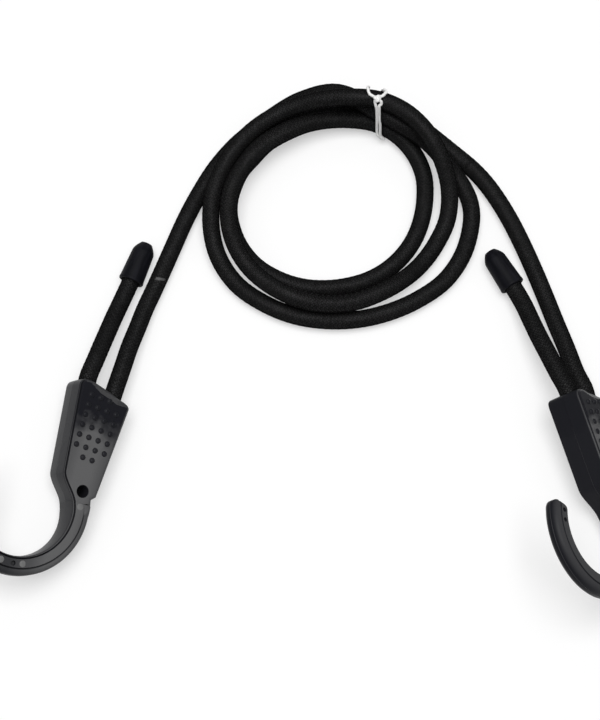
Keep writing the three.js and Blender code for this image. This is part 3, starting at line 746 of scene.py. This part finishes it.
def smooth_line(points, per_span):
    """A dense line along a smooth curve through the points."""
    p = np.vstack([2 * points[0] - points[1], points, 2 * points[-1] - points[-2]])
    root = np.linalg.norm(np.diff(p, axis=0), axis=1) ** 0.5
    t = np.linspace(0, 1, per_span, endpoint=False)[:, None]
    line = []
    for i in range(1, len(p) - 2):
        before, start, end, after = p[i - 1 : i + 3]
        d0, d1, d2 = root[i - 1 : i + 2]
        rise = end - start
        leave = d1 * ((start - before) / d0 - (end - before) / (d0 + d1)) + rise
        arrive = d1 * ((after - end) / d2 - (after - start) / (d1 + d2)) + rise
        line.append(between(start, rise, leave, arrive, t))
    line.append(p[-2:-1])
    return np.vstack(line)


def lengths_of(line):
    return np.concatenate([[0], np.cumsum(np.linalg.norm(np.diff(line, axis=0), axis=1))])


def at_lengths(line, wanted):
    along = lengths_of(line)
    return np.stack([np.interp(wanted, along, line[:, axis]) for axis in range(3)], axis=1)


def along_stations(values, position):
    i = min(int(position), len(values) - 2)
    before = values[max(i - 1, 0)]
    after = values[min(i + 2, len(values) - 1)]
    leave = (values[i + 1] - before) / 2
    arrive = (after - values[i]) / 2
    return between(values[i], values[i + 1] - values[i], leave, arrive, position - i)


def coil_points():
    points = []
    count = round((COIL_TO - COIL_FROM) * COIL_POINTS_PER_STATION)
    for i in range(count + 1):
        position = lerp(COIL_FROM, COIL_TO, i / count)
        radius = along_stations(COIL_RADII, position)
        angle = -2 * math.pi * position / COIL_STATIONS
        height = along_stations(COIL_HEIGHTS, position)
        points.append([COIL_X + radius * math.cos(angle), COIL_Y + radius * math.sin(angle), height])
    return points


def side_x(mouth_x, y):
    share = (y - TURN_Y) / (MOUTH_EXIT_Y - TURN_Y)
    return lerp(math.copysign(turn_radius, mouth_x), mouth_x, share)


def turn_points():
    """The cord inside a hook, from the tail's side round the post, in the hook's frame."""
    points = []
    side_points = 4
    for i in range(side_points):
        y = lerp(MOUTH_EXIT_Y, TURN_Y, i / side_points)
        points.append([side_x(tail_mouth_x, y), y, 0])
    for degrees in range(180, 361, 45):
        angle = math.radians(degrees)
        points.append([turn_radius * math.cos(angle), TURN_Y + turn_radius * math.sin(angle), 0])
    for i in range(1, side_points + 1):
        y = lerp(TURN_Y, MOUTH_EXIT_Y, i / side_points)
        points.append([side_x(leg_mouth_x, y), y, 0])
    return np.array(points, float)


def hook_axes(pose):
    heading = Matrix.Rotation(math.radians(pose["heading"]), 3, "Z")
    roll = Matrix.Rotation(math.radians(pose["roll"]), 3, "Y")
    return np.array(heading @ roll)


def on_floor(pose, points):
    """Points of a hook's own frame, as the source places them on the floor."""
    return np.asarray(points, float) @ hook_axes(pose).T + np.array([pose["x"], pose["y"], pose["z"]])


left_turn = on_floor(HOOK_POSES["left"], turn_points())
right_turn = on_floor(HOOK_POSES["right"], turn_points())
cord_points = [
    LEFT_TAIL_ROUTE[::-1], left_turn, LEFT_ROUTE, coil_points(),
    RIGHT_ROUTE, right_turn[::-1], RIGHT_TAIL_ROUTE,
]
cord_line = smooth_line(np.vstack(cord_points), ROUTE_STEPS)
cord_lengths = lengths_of(cord_line)
cord_total = cord_lengths[-1]


def length_at(point):
    return cord_lengths[np.argmin(np.linalg.norm(cord_line - point, axis=1))]


def turned_along(line):
    """Two directions across a line at each of its points, which turn no more than the line does."""
    tangents = np.gradient(line, axis=0)
    tangents /= np.linalg.norm(tangents, axis=1)[:, None]
    across = unit(np.cross(tangents[0], [0, 0, 1]))
    normals = []
    for tangent in tangents:
        across = unit(across - tangent * (across @ tangent))
        normals.append(across)
    normals = np.array(normals)
    return normals, np.cross(tangents, normals)


def tube_rings(line, radius, sides):
    """Rings round a line; radius is a number, or an array with a value for each point and side."""
    normals, others = turned_along(line)
    angles = 2 * np.pi * np.arange(sides) / sides
    cosines = np.cos(angles)[None, :, None]
    sines = np.sin(angles)[None, :, None]
    round_line = normals[:, None, :] * cosines + others[:, None, :] * sines
    radii = np.broadcast_to(radius, (len(line), sides))
    return line[:, None, :] + round_line * radii[:, :, None]


def tube_mesh(rings, along):
    """A closed tube in metres, mapped by the turn round it and the length along it."""
    count, sides = rings.shape[:2]
    i, j = np.meshgrid(np.arange(count - 1), np.arange(sides), indexing="ij")
    around = np.stack([j, j + 1, j + 1, j], axis=-1) / sides
    length = np.stack([along[i], along[i], along[i + 1], along[i + 1]], axis=-1) * MM
    ends = np.concatenate([np.full(sides, along[0]), np.full(sides, along[-1])]) * MM
    mesh = bpy.data.meshes.new("tube")
    mesh.from_pydata((rings.reshape(-1, 3) * MM).tolist(), [], ring_faces(count, sides))
    turns = np.append(around.ravel(), np.zeros(2 * sides))
    uv = np.stack([turns, np.append(length.ravel(), ends)], axis=1)
    mesh.uv_layers.new(name="cord").data.foreach_set("uv", uv.astype(np.float32).ravel())
    return mesh


ring_count = round(cord_total / RING_STEP)
ring_lengths = np.linspace(0, cord_total, ring_count + 1)
ring_line = at_lengths(cord_line, ring_lengths)


def braid_radius():
    """The cord's radius at each ring and side, with its yarns in relief; the caps draw its ends in."""
    from_end = np.minimum(ring_lengths, cord_total - ring_lengths)
    drawn_in = np.interp(from_end, [0, DRAWN_IN_LENGTH], [DRAWN_IN_END, 1])[:, None]
    turns = BRAID_STRANDS * np.arange(CORD_SIDES)[None, :] / CORD_SIDES
    steps = ring_lengths[:, None] / BRAID_PITCH
    lattice = np.cos(2 * np.pi * (turns + steps)) + np.cos(2 * np.pi * (turns - steps))
    return drawn_in * (cord_radius + BRAID_RELIEF * (lattice / 2 - BRAID_SUNK))


def pressed(rings):
    """The rings, a little wider where the coil's inner turns lie pressed against the outer ones."""
    away = ring_line[:, :2] - [COIL_X, COIL_Y]
    degrees = np.degrees(np.arctan2(away[:, 1], away[:, 0]))
    wider = np.interp(degrees, PRESSED_BETWEEN, [0, PRESSED_WIDER, PRESSED_WIDER, 0])
    wider *= np.linalg.norm(away, axis=1) < PRESSED_WITHIN
    sideways = (rings - ring_line[:, None, :]) * [1, 1, 0]
    return rings + wider[:, None, None] * sideways


cord_rings = pressed(tube_rings(ring_line, braid_radius(), CORD_SIDES))

left_tail_mouth = length_at(left_turn[0])
left_leg_mouth = length_at(left_turn[-1])
right_leg_mouth = length_at(right_turn[-1])
right_tail_mouth = length_at(right_turn[0])
STRETCH_NAMES = ["left_tail", "left_turn", "left_leg", "coil", "right_leg", "right_turn", "right_tail"]
cuts = [
    0, left_tail_mouth + INSIDE_HOOK, left_leg_mouth - INSIDE_HOOK, left_leg_mouth + LEG_OUTSIDE,
    right_leg_mouth - LEG_OUTSIDE, right_leg_mouth + INSIDE_HOOK, right_tail_mouth - INSIDE_HOOK,
    cord_total,
]
STRETCHES = dict(zip(STRETCH_NAMES, zip(cuts, cuts[1:])))


def rings_of(name):
    """The slice of the cord's rings that makes up a stretch."""
    first, last = [round(s / cord_total * ring_count) for s in STRETCHES[name]]
    return slice(first, last + 1)


def add_stretch(name):
    span = rings_of(name)
    mesh = tube_mesh(cord_rings[span] - MIDDLE, ring_lengths[span])
    mesh.shade_smooth()
    mesh.materials.append(sleeve)
    piece = make_object(name + "_cord", mesh)
    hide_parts(name + "_jacket", name + "_core")
    return piece


def cord_point(length):
    """The cord's middle in metres, at a length along it."""
    return in_frame(at_lengths(cord_line, [length]))[0]


cords = {name: add_stretch(name) for name in STRETCHES}


# Hooks


def hook_matrix(pose):
    turn = Matrix(hook_axes(pose).tolist()).to_4x4()
    return Matrix.Translation(in_frame([pose["x"], pose["y"], pose["z"]])) @ turn


def on_bowl(radius, degrees):
    angle = math.radians(degrees)
    return np.array([BOWL_X + radius * math.cos(angle), BOWL_Y + radius * math.sin(angle)])


def straight(start, end):
    count = max(1, round(np.linalg.norm(end - start) / OUTLINE_STEP))
    return [lerp(start, end, i / count) for i in range(count)]


def curved(controls, count):
    """Points on the curve that the control points draw, without its last point."""
    points = []
    for i in range(count):
        layer = [np.asarray(c, float) for c in controls]
        while len(layer) > 1:
            layer = [lerp(a, b, i / count) for a, b in zip(layer, layer[1:])]
        points.append(layer[0])
    return points


def grip_outline():
    """The grip's outline, with shares for its points: groove, chamfer and whether the arm covers it."""
    arm_outer = on_bowl(BOWL_RADIUS + ARM_WIDTH, ARM_START - ARM_OVERLAP)
    neck_angle = math.radians(ARM_START + ARM_OVERLAP)
    neck = on_bowl(BOWL_RADIUS, ARM_START + ARM_OVERLAP)
    into_neck = NECK_EASE * np.array([math.sin(neck_angle), -math.cos(neck_angle)])
    side_top = np.array([-MOUTH_HALF_WIDTH, MOUTH_TOP - MOUTH_ROUNDING])
    shoulder = np.array([-SHOULDER_HALF_WIDTH, SHOULDER_Y])
    down_side = NECK_EASE * unit(shoulder - side_top)
    foot = np.array([SPINE_FOOT_X, SPINE_FOOT_Y])
    spine_top = np.array([SPINE_TOP_X, SPINE_TOP_Y])
    corner = np.array([SPINE_TOP_X - SPINE_TOP_ROUNDING, SPINE_TOP_Y + SPINE_TOP_ROUNDING])
    mouth_left = np.array([MOUTH_ROUNDING - MOUTH_HALF_WIDTH, MOUTH_TOP])
    left = straight(side_top, shoulder)
    left += curved([shoulder, shoulder + down_side, neck - into_neck, neck], NECK_STEPS)
    left += [on_bowl(BOWL_RADIUS, ARM_START + ARM_OVERLAP - i) for i in range(2 * ARM_OVERLAP)]
    grip_end = straight(on_bowl(BOWL_RADIUS, ARM_START - ARM_OVERLAP), arm_outer)
    rest = grip_end + straight(arm_outer, foot - SPINE_STEP)
    rest += straight(foot - SPINE_STEP, foot)
    rest += straight(foot, spine_top)
    bend = (SPINE_TOP_X, SPINE_TOP_Y + SPINE_TOP_ROUNDING / 2)
    rest += curved([spine_top, bend, corner], SPINE_CORNER_STEPS)
    rest += curved([corner, (0, MOUTH_TOP), mouth_left], MOUTH_STEPS)
    top_bend = (-MOUTH_HALF_WIDTH, MOUTH_TOP)
    top_corner = curved([mouth_left, top_bend, side_top], MOUTH_CORNER_STEPS)
    outline = np.array(left + rest + top_corner)
    count = len(top_corner)
    groove = np.array([1.0] * len(left) + [0.0] * len(rest) + [i / count for i in range(count)])
    on_top = (outline[:, 1] > SPINE_TOP_Y) & (outline[:, 0] > -MOUTH_HALF_WIDTH)
    chamfer = np.where(on_top, np.interp(outline[:, 0], TOP_CHAMFER_AT, [0, 1, 1, 0]), 0)
    buried = np.zeros(len(outline))
    buried[len(left) : len(left) + len(grip_end)] = 1
    return outline, groove, chamfer, buried


def inset(outline, distance):
    """The outline drawn in by a distance."""
    edges = np.roll(outline, -1, axis=0) - outline
    edges /= np.linalg.norm(edges, axis=1)[:, None]
    inward = np.stack([-edges[:, 1], edges[:, 0]], axis=1)
    both = inward + np.roll(inward, 1, axis=0)
    both /= np.maximum(np.sum(both * both, axis=1) / 2, SHARPEST)[:, None]
    return outline + both * np.reshape(distance, (-1, 1))


def grip_mesh():
    outline, groove, chamfer, buried = grip_outline()
    half = GRIP_THICKNESS / 2
    plain = np.zeros(len(groove))
    levels = [(distance, depth - half, plain) for distance, depth in BACK_EDGE]
    levels += [(0, -WALL_HALF, plain), (0, WALL_HALF, plain)]
    levels += [(distance, half - depth, plain) for distance, depth in WALL_EDGE]
    levels += [(GROOVE_PLACE[0], half - GROOVE_PLACE[1], groove * GROOVE_DEPTH)]
    levels += [(distance, half - depth, plain) for distance, depth in FACE_EDGE]
    rings = []
    for distance, height, sunk in levels:
        in_front = height > WALL_HALF
        facet = in_front * np.clip(1 - (distance - TOP_CHAMFER_FROM) / TOP_CHAMFER_WIDTH, 0, 1)
        depth = np.maximum(sunk, buried * BURIED_DEPTH * in_front) + facet * chamfer * TOP_CHAMFER
        rings.append(np.column_stack([inset(outline, distance), height - depth]))
    face_edge = FLAT_FROM + chamfer * (TOP_CHAMFER_FROM + TOP_CHAMFER_WIDTH - FLAT_FROM)
    rings.append(np.column_stack([inset(outline, face_edge), np.full(len(outline), half)]))
    return loft(rings)


def arm_section(thickness, scale, ease):
    """A section of the arm: places out from its middle and across it. Ease goes from 0 to 1."""
    w = ARM_WIDTH / 2
    t = thickness / 2
    bevel = lerp(ARM_LEAST_BEVEL, 1, ease)
    groove_in, groove_down = GROOVE_PLACE
    outer_floor = t - ARM_GROOVE_LEAST - ARM_GROOVE_DEPTH * ease
    points = [(w + ARM_CROWN_OUT * ease, 0), (w, WALL_HALF)]
    points += [(w - bevel * inward, t - bevel * down) for inward, down in ARM_OUTER_FACE]
    points += [(w - ARM_GROOVE_IN, outer_floor), (w - ARM_FLAT_IN, t)]
    points += [(inward - w, t - down) for inward, down in reversed(FACE_EDGE)]
    points += [(groove_in - w, t - groove_down - GROOVE_DEPTH)]
    points += [(inward - w, t - down) for inward, down in reversed(WALL_EDGE[1:])]
    points += [(ARM_SLOPE - w, t - ARM_INNER_TOP), (-w - ARM_CROWN_IN * ease, 0)]
    points += [(inward - w, up - t) for inward, up in ARM_INNER_BACK]
    points += [(w - bevel * inward, bevel * up - t) for inward, up in ARM_OUTER_BACK]
    points += [(w - ARM_SLOPE, bevel * ARM_OUTER_FOOT - t), (w, -WALL_HALF)]
    return [(scale * a, scale * b) for a, b in points]


def arm_place(share):
    """Thickness and lift of the arm at a share of its length from the grip."""
    early = (1 - max(0, share - ARM_HOLD) / (1 - ARM_HOLD)) ** ARM_TAPER
    return lerp(ARM_TIP_THICKNESS, GRIP_THICKNESS + ARM_PROUD, early), lerp(ARM_TIP_LIFT, 0, early)


def arm_mesh():
    length = math.radians(ARM_SWEEP) * arm_radius
    tip_starts = 1 - TIP_ROUNDING / length
    stations = [(lerp(-ARM_ROOT, tip_starts, i / ARM_STEPS), 1) for i in range(ARM_STEPS + 1)]
    for k in range(1, TIP_STEPS + 1):
        angle = math.pi / 2 * k / TIP_STEPS
        scale = 1 - 2 * TIP_ROUNDING * (1 - math.cos(angle)) / ARM_WIDTH
        stations.append((1 - TIP_ROUNDING * (1 - math.sin(angle)) / length, scale))
    rings = []
    for share, scale in stations:
        thickness, lift = arm_place(share)
        ring = []
        ease = min(1, max(0, share - ARM_EASE_FROM) / ARM_EASE)
        for out, across in arm_section(thickness, scale, ease * scale**2):
            x, y = on_bowl(arm_radius + out, ARM_START - ARM_SWEEP * share)
            ring.append((x, y, lift + across))
        rings.append(ring)
    return loft(rings)


def on_arm_face(degrees, out):
    """A point on the arm's front face, at an angle round the bowl and out from the arm's middle."""
    share = min(max((ARM_START - degrees) / ARM_SWEEP, 0), 1)
    thickness, lift = arm_place(share)
    x, y = on_bowl(arm_radius + out, degrees)
    return x, y, lift + thickness / 2


def upright(centre):
    return lambda x, y, height: (centre[0] + x, centre[1] + y, centre[2] + height)


def hole_mesh():
    bore = HOLE_DIAMETER / 2
    face = GRIP_THICKNESS / 2
    profile = [
        (bore + 2 * HOLE_CHAMFER, -face - HOLE_CHAMFER), (bore, -face + HOLE_CHAMFER),
        (bore, face - HOLE_CHAMFER), (bore + 2 * HOLE_CHAMFER, face + HOLE_CHAMFER),
    ]
    return lathe(profile, HOLE_SIDES, upright((HOLE_X, HOLE_Y, 0)))


def dot_meshes():
    radius = DOT_DIAMETER / 2
    base = DOT_BASE_DIAMETER / 2
    profile = [(share * base, height) for share, height in DOT_PROFILE]
    side_top_y = MOUTH_TOP - MOUTH_ROUNDING
    meshes = []
    for row in range(DOT_ROWS):
        y = DOT_TOP_ROW_Y - row * DOT_PITCH
        down_side = (side_top_y - y) / (side_top_y - SHOULDER_Y)
        half_width = lerp(MOUTH_HALF_WIDTH, SHOULDER_HALF_WIDTH, down_side)
        for column in range(DOT_COLUMNS):
            x = (column - (DOT_COLUMNS - 1) / 2) * DOT_PITCH
            mouth_y = lerp(MOUTH_TOP, SPINE_TOP_Y, max(0, x / SPINE_TOP_X))
            beside_edge = abs(x) + radius + DOT_SIDE_MARGIN > half_width
            beside_mouth = y + radius + DOT_TOP_MARGIN > mouth_y
            if not beside_edge and not beside_mouth:
                meshes.append(lathe(profile, DOT_SIDES, upright((x, y, GRIP_THICKNESS / 2))))
    return meshes


def pin_hole_meshes():
    meshes = []
    for degrees, diameter in PIN_HOLES:
        profile = [(diameter / 2, -PIN_HOLE_DEPTH), (diameter / 2, CUT_PAST)]
        meshes.append(lathe(profile, DOT_SIDES, upright(on_arm_face(degrees, FACE_MIDDLE))))
    return meshes


def ejector_meshes():
    radius = EJECTOR_DIAMETER / 2
    profile = [(radius - inward, height) for inward, height in EJECTOR_PROFILE]
    places = [on_arm_face(degrees, FACE_MIDDLE) for degrees in EJECTOR_ANGLES]
    return [lathe(profile, EJECTOR_SIDES, upright(place)) for place in places]


def passage_mesh():
    route = turn_points()
    beyond = np.vstack([2 * route[0] - route[1], route, 2 * route[-1] - route[-2]])
    line = smooth_line(beyond, PASSAGE_STEPS)
    return loft(tube_rings(line, passage_half, PASSAGE_SIDES))


def front_space(end_y, from_z):
    return box_mesh((BOWL_X, end_y, from_z), (FAR, FAR, FAR))


def hook_meshes():
    """The body, which is the arm and the grip's back half, and the cover, which has the dots."""
    grip = boolean(boolean(grip_mesh(), hole_mesh(), "DIFFERENCE"), passage_mesh(), "DIFFERENCE")
    end_gap = COVER_END_GAP / 2
    gap = PARTING_GAP / 2
    cover = boolean(grip.copy(), front_space(COVER_END_Y + end_gap, gap), "INTERSECT")
    cover = boolean(cover, joined(dot_meshes()), "UNION")
    body = boolean(grip, arm_mesh(), "UNION")
    body = boolean(body, front_space(COVER_END_Y - end_gap, -gap), "DIFFERENCE")
    body = boolean(body, joined(pin_hole_meshes()), "DIFFERENCE")
    return body, cover


body_mesh, cover_mesh = hook_meshes()
marks_mesh = joined(ejector_meshes())


def add_hook_piece(side, name, mesh, finish, node):
    piece = make_object(side + "_" + name, mesh.copy())
    piece.data.materials.clear()
    piece.data.materials.append(finish)
    piece.matrix_world = hook_matrix(HOOK_POSES[side])
    smooth(piece, HOOK_CREASE)
    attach(piece, side + "_hook")
    if node:
        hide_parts(side + "_" + node)


for side in HOOK_POSES:
    add_hook_piece(side, "hook_moulding", body_mesh, hook_plastic[side], "hook_body")
    add_hook_piece(side, "dotted_cover", cover_mesh, hook_plastic[side], "grip_cover")
    add_hook_piece(side, "ejector_marks", marks_mesh, ejector_mark, None)


# End caps


def cap_mesh():
    socket = cord_radius + CAP_GAP
    mouth = socket + CAP_WALL
    waist = mouth - CAP_DRAFT
    tip = CAP_TIP_DIAMETER / 2
    nose = CAP_LENGTH - CAP_DOME
    profile = [(CAP_CLOSED_END, CAP_SOCKET_DEPTH), (socket, CAP_SOCKET_DEPTH)]
    profile += [(socket + out, along) for out, along in CAP_LIP_INSIDE]
    profile += [(mouth - inward, along) for inward, along in CAP_LIP_OUTSIDE]
    lip, lip_end = profile[-1]
    for i in range(1, CAP_WALL_STEPS):
        share = i / CAP_WALL_STEPS
        profile.append((lerp(lip, waist, share), lerp(lip_end, nose, share)))
    end = [(tip + out, CAP_LENGTH - back) for out, back in CAP_NOSE]
    bulge = (waist - CAP_BULGE, nose + CAP_BULGE_AT * CAP_DOME)
    profile += [tuple(p) for p in curved([(waist, nose), bulge, end[0]], CAP_DOME_STEPS)]
    profile += end + [(CAP_CLOSED_END, CAP_LENGTH)]
    return lathe(profile, CAP_SIDES, lambda x, y, height: (x, height, y))


def add_cap(side, end, inner):
    tip, back = at_lengths(cord_line, [end, inner])
    outward = unit(tip - back)
    piece = make_object(side + "_dipped_cap", cap_mesh())
    turn = Vector((0, 1, 0)).rotation_difference(Vector(outward)).to_matrix().to_4x4()
    place = Matrix.Translation(in_frame(tip + outward * (CAP_GAP - CAP_SOCKET_DEPTH)))
    piece.matrix_world = place @ turn
    piece.data.materials.append(cap_plastic)
    smooth(piece, CAP_CREASE)
    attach(piece, side + "_tail")
    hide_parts(side + "_end_cap")
    return piece


half_socket = CAP_SOCKET_DEPTH / 2
caps = {
    "left": add_cap("left", 0, half_socket),
    "right": add_cap("right", cord_total, cord_total - half_socket),
}


# Which bodies the stretches of cord ride on, and their paths


def declare_cord(name, exit_length):
    """Works out a path for a stretch, from its exit through the middle of each of its rings."""
    leaves = cord_point(exit_length)
    path = in_frame(ring_line[rings_of(name)])
    if np.linalg.norm(path[0] - leaves) > np.linalg.norm(path[-1] - leaves):
        path = path[::-1]
    [tuple(p) for p in path]


def settle_tail(side, mouth):
    """The tail between its hook's mouth and its cap rides on the hook, with a mesh of its own and a
    path from the mouth.
    """
    name = side + "_tail"
    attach(cords[name], side + "_hook")
    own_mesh(cords[name])
    declare_cord(name, mouth)


def settle_leg(side, mouth):
    """The leg between the coil and its hook, with its place baked into its mesh and a path from its
    hook's mouth.
    """
    name = side + "_leg"
    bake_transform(cords[name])
    declare_cord(name, mouth)


settle_tail("left", left_tail_mouth)
settle_tail("right", right_tail_mouth)
settle_leg("left", left_leg_mouth)
settle_leg("right", right_leg_mouth)
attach(cords["left_turn"], "left_hook")
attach(cords["right_turn"], "right_hook")
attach(cords["coil"], "cord")
declare_cord("coil", STRETCHES["coil"][0])


# Tie

tie_axis = np.array([math.cos(math.radians(TIE_HEADING)), math.sin(math.radians(TIE_HEADING)), 0])
tie_across = np.array([-tie_axis[1], tie_axis[0], 0])
tie_centre = np.array([TIE_X, TIE_Y, 0])
spaced_cord = at_lengths(cord_line, np.linspace(0, cord_total, math.ceil(cord_total) + 1))


def tied_strands(along):
    """Across, height and half width of each strand of cord where it crosses the tie's plane."""
    away = spaced_cord - (tie_centre + along * tie_axis)
    ahead = away @ tie_axis
    crosses = (ahead[:-1] * ahead[1:] <= 0) & (np.linalg.norm(away[1:], axis=1) <= TIE_REACH)
    strands = []
    for i in np.flatnonzero(crosses):
        slant = abs(unit(away[i + 1] - away[i]) @ tie_axis)
        strands.append((away[i + 1] @ tie_across, away[i + 1][2], cord_radius / slant))
    return strands


def tie_point(degrees, along, clear):
    out = math.cos(math.radians(degrees))
    up = math.sin(math.radians(degrees))

    def support(strand):
        across, height, half_width = strand
        return across * out + height * up + math.hypot(half_width * out, cord_radius * up)

    across, height, half_width = max(tied_strands(along), key=support)
    point = tie_centre + along * tie_axis + (across + out * (half_width + clear)) * tie_across
    point[2] = max(height + up * (cord_radius + clear), TIE_DIAMETER / 2 + TIE_FLOOR_GAP)
    return point


def tie_strand(stations):
    """One turn of line round the coil, which leaves the knot and comes back to it."""
    turns, places = np.array(stations).T
    route = []
    for turned in np.linspace(0, 1, TIE_STEPS + 1):
        near_knot = max(0, 1 - min(turned, 1 - turned) / KNOT_SPAN)
        clear = TIE_SLACK + TIE_DIAMETER / 2 + KNOT_RISE * near_knot
        route.append(tie_point(KNOT_ANGLE + 360 * turned, np.interp(turned, turns, places), clear))
    return smooth_line(np.array(route), TIE_SMOOTHING)


def knot_line():
    """A trefoil knot on top of the coil."""
    turn = np.linspace(0, 2 * math.pi, KNOT_STEPS + 1)
    loops = np.stack([
        np.sin(turn) + 2 * np.sin(2 * turn), np.cos(turn) - 2 * np.cos(2 * turn), -np.sin(3 * turn),
    ], axis=1)
    return tie_point(KNOT_ANGLE, KNOT_PLACE, TIE_SLACK + KNOT_LIFT) + KNOT_SCALE * loops


def tie_meshes():
    lines = [tie_strand(stations) for stations in TIE_STRANDS.values()] + [knot_line()]
    return [loft(tube_rings(line, TIE_DIAMETER / 2, TIE_SIDES) - MIDDLE) for line in lines]


tie = make_object("tie_loop", joined(tie_meshes()))
tie.data.materials.append(tie_line)
smooth(tie, TIE_CREASE)
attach(tie, "cord")
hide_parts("tie")
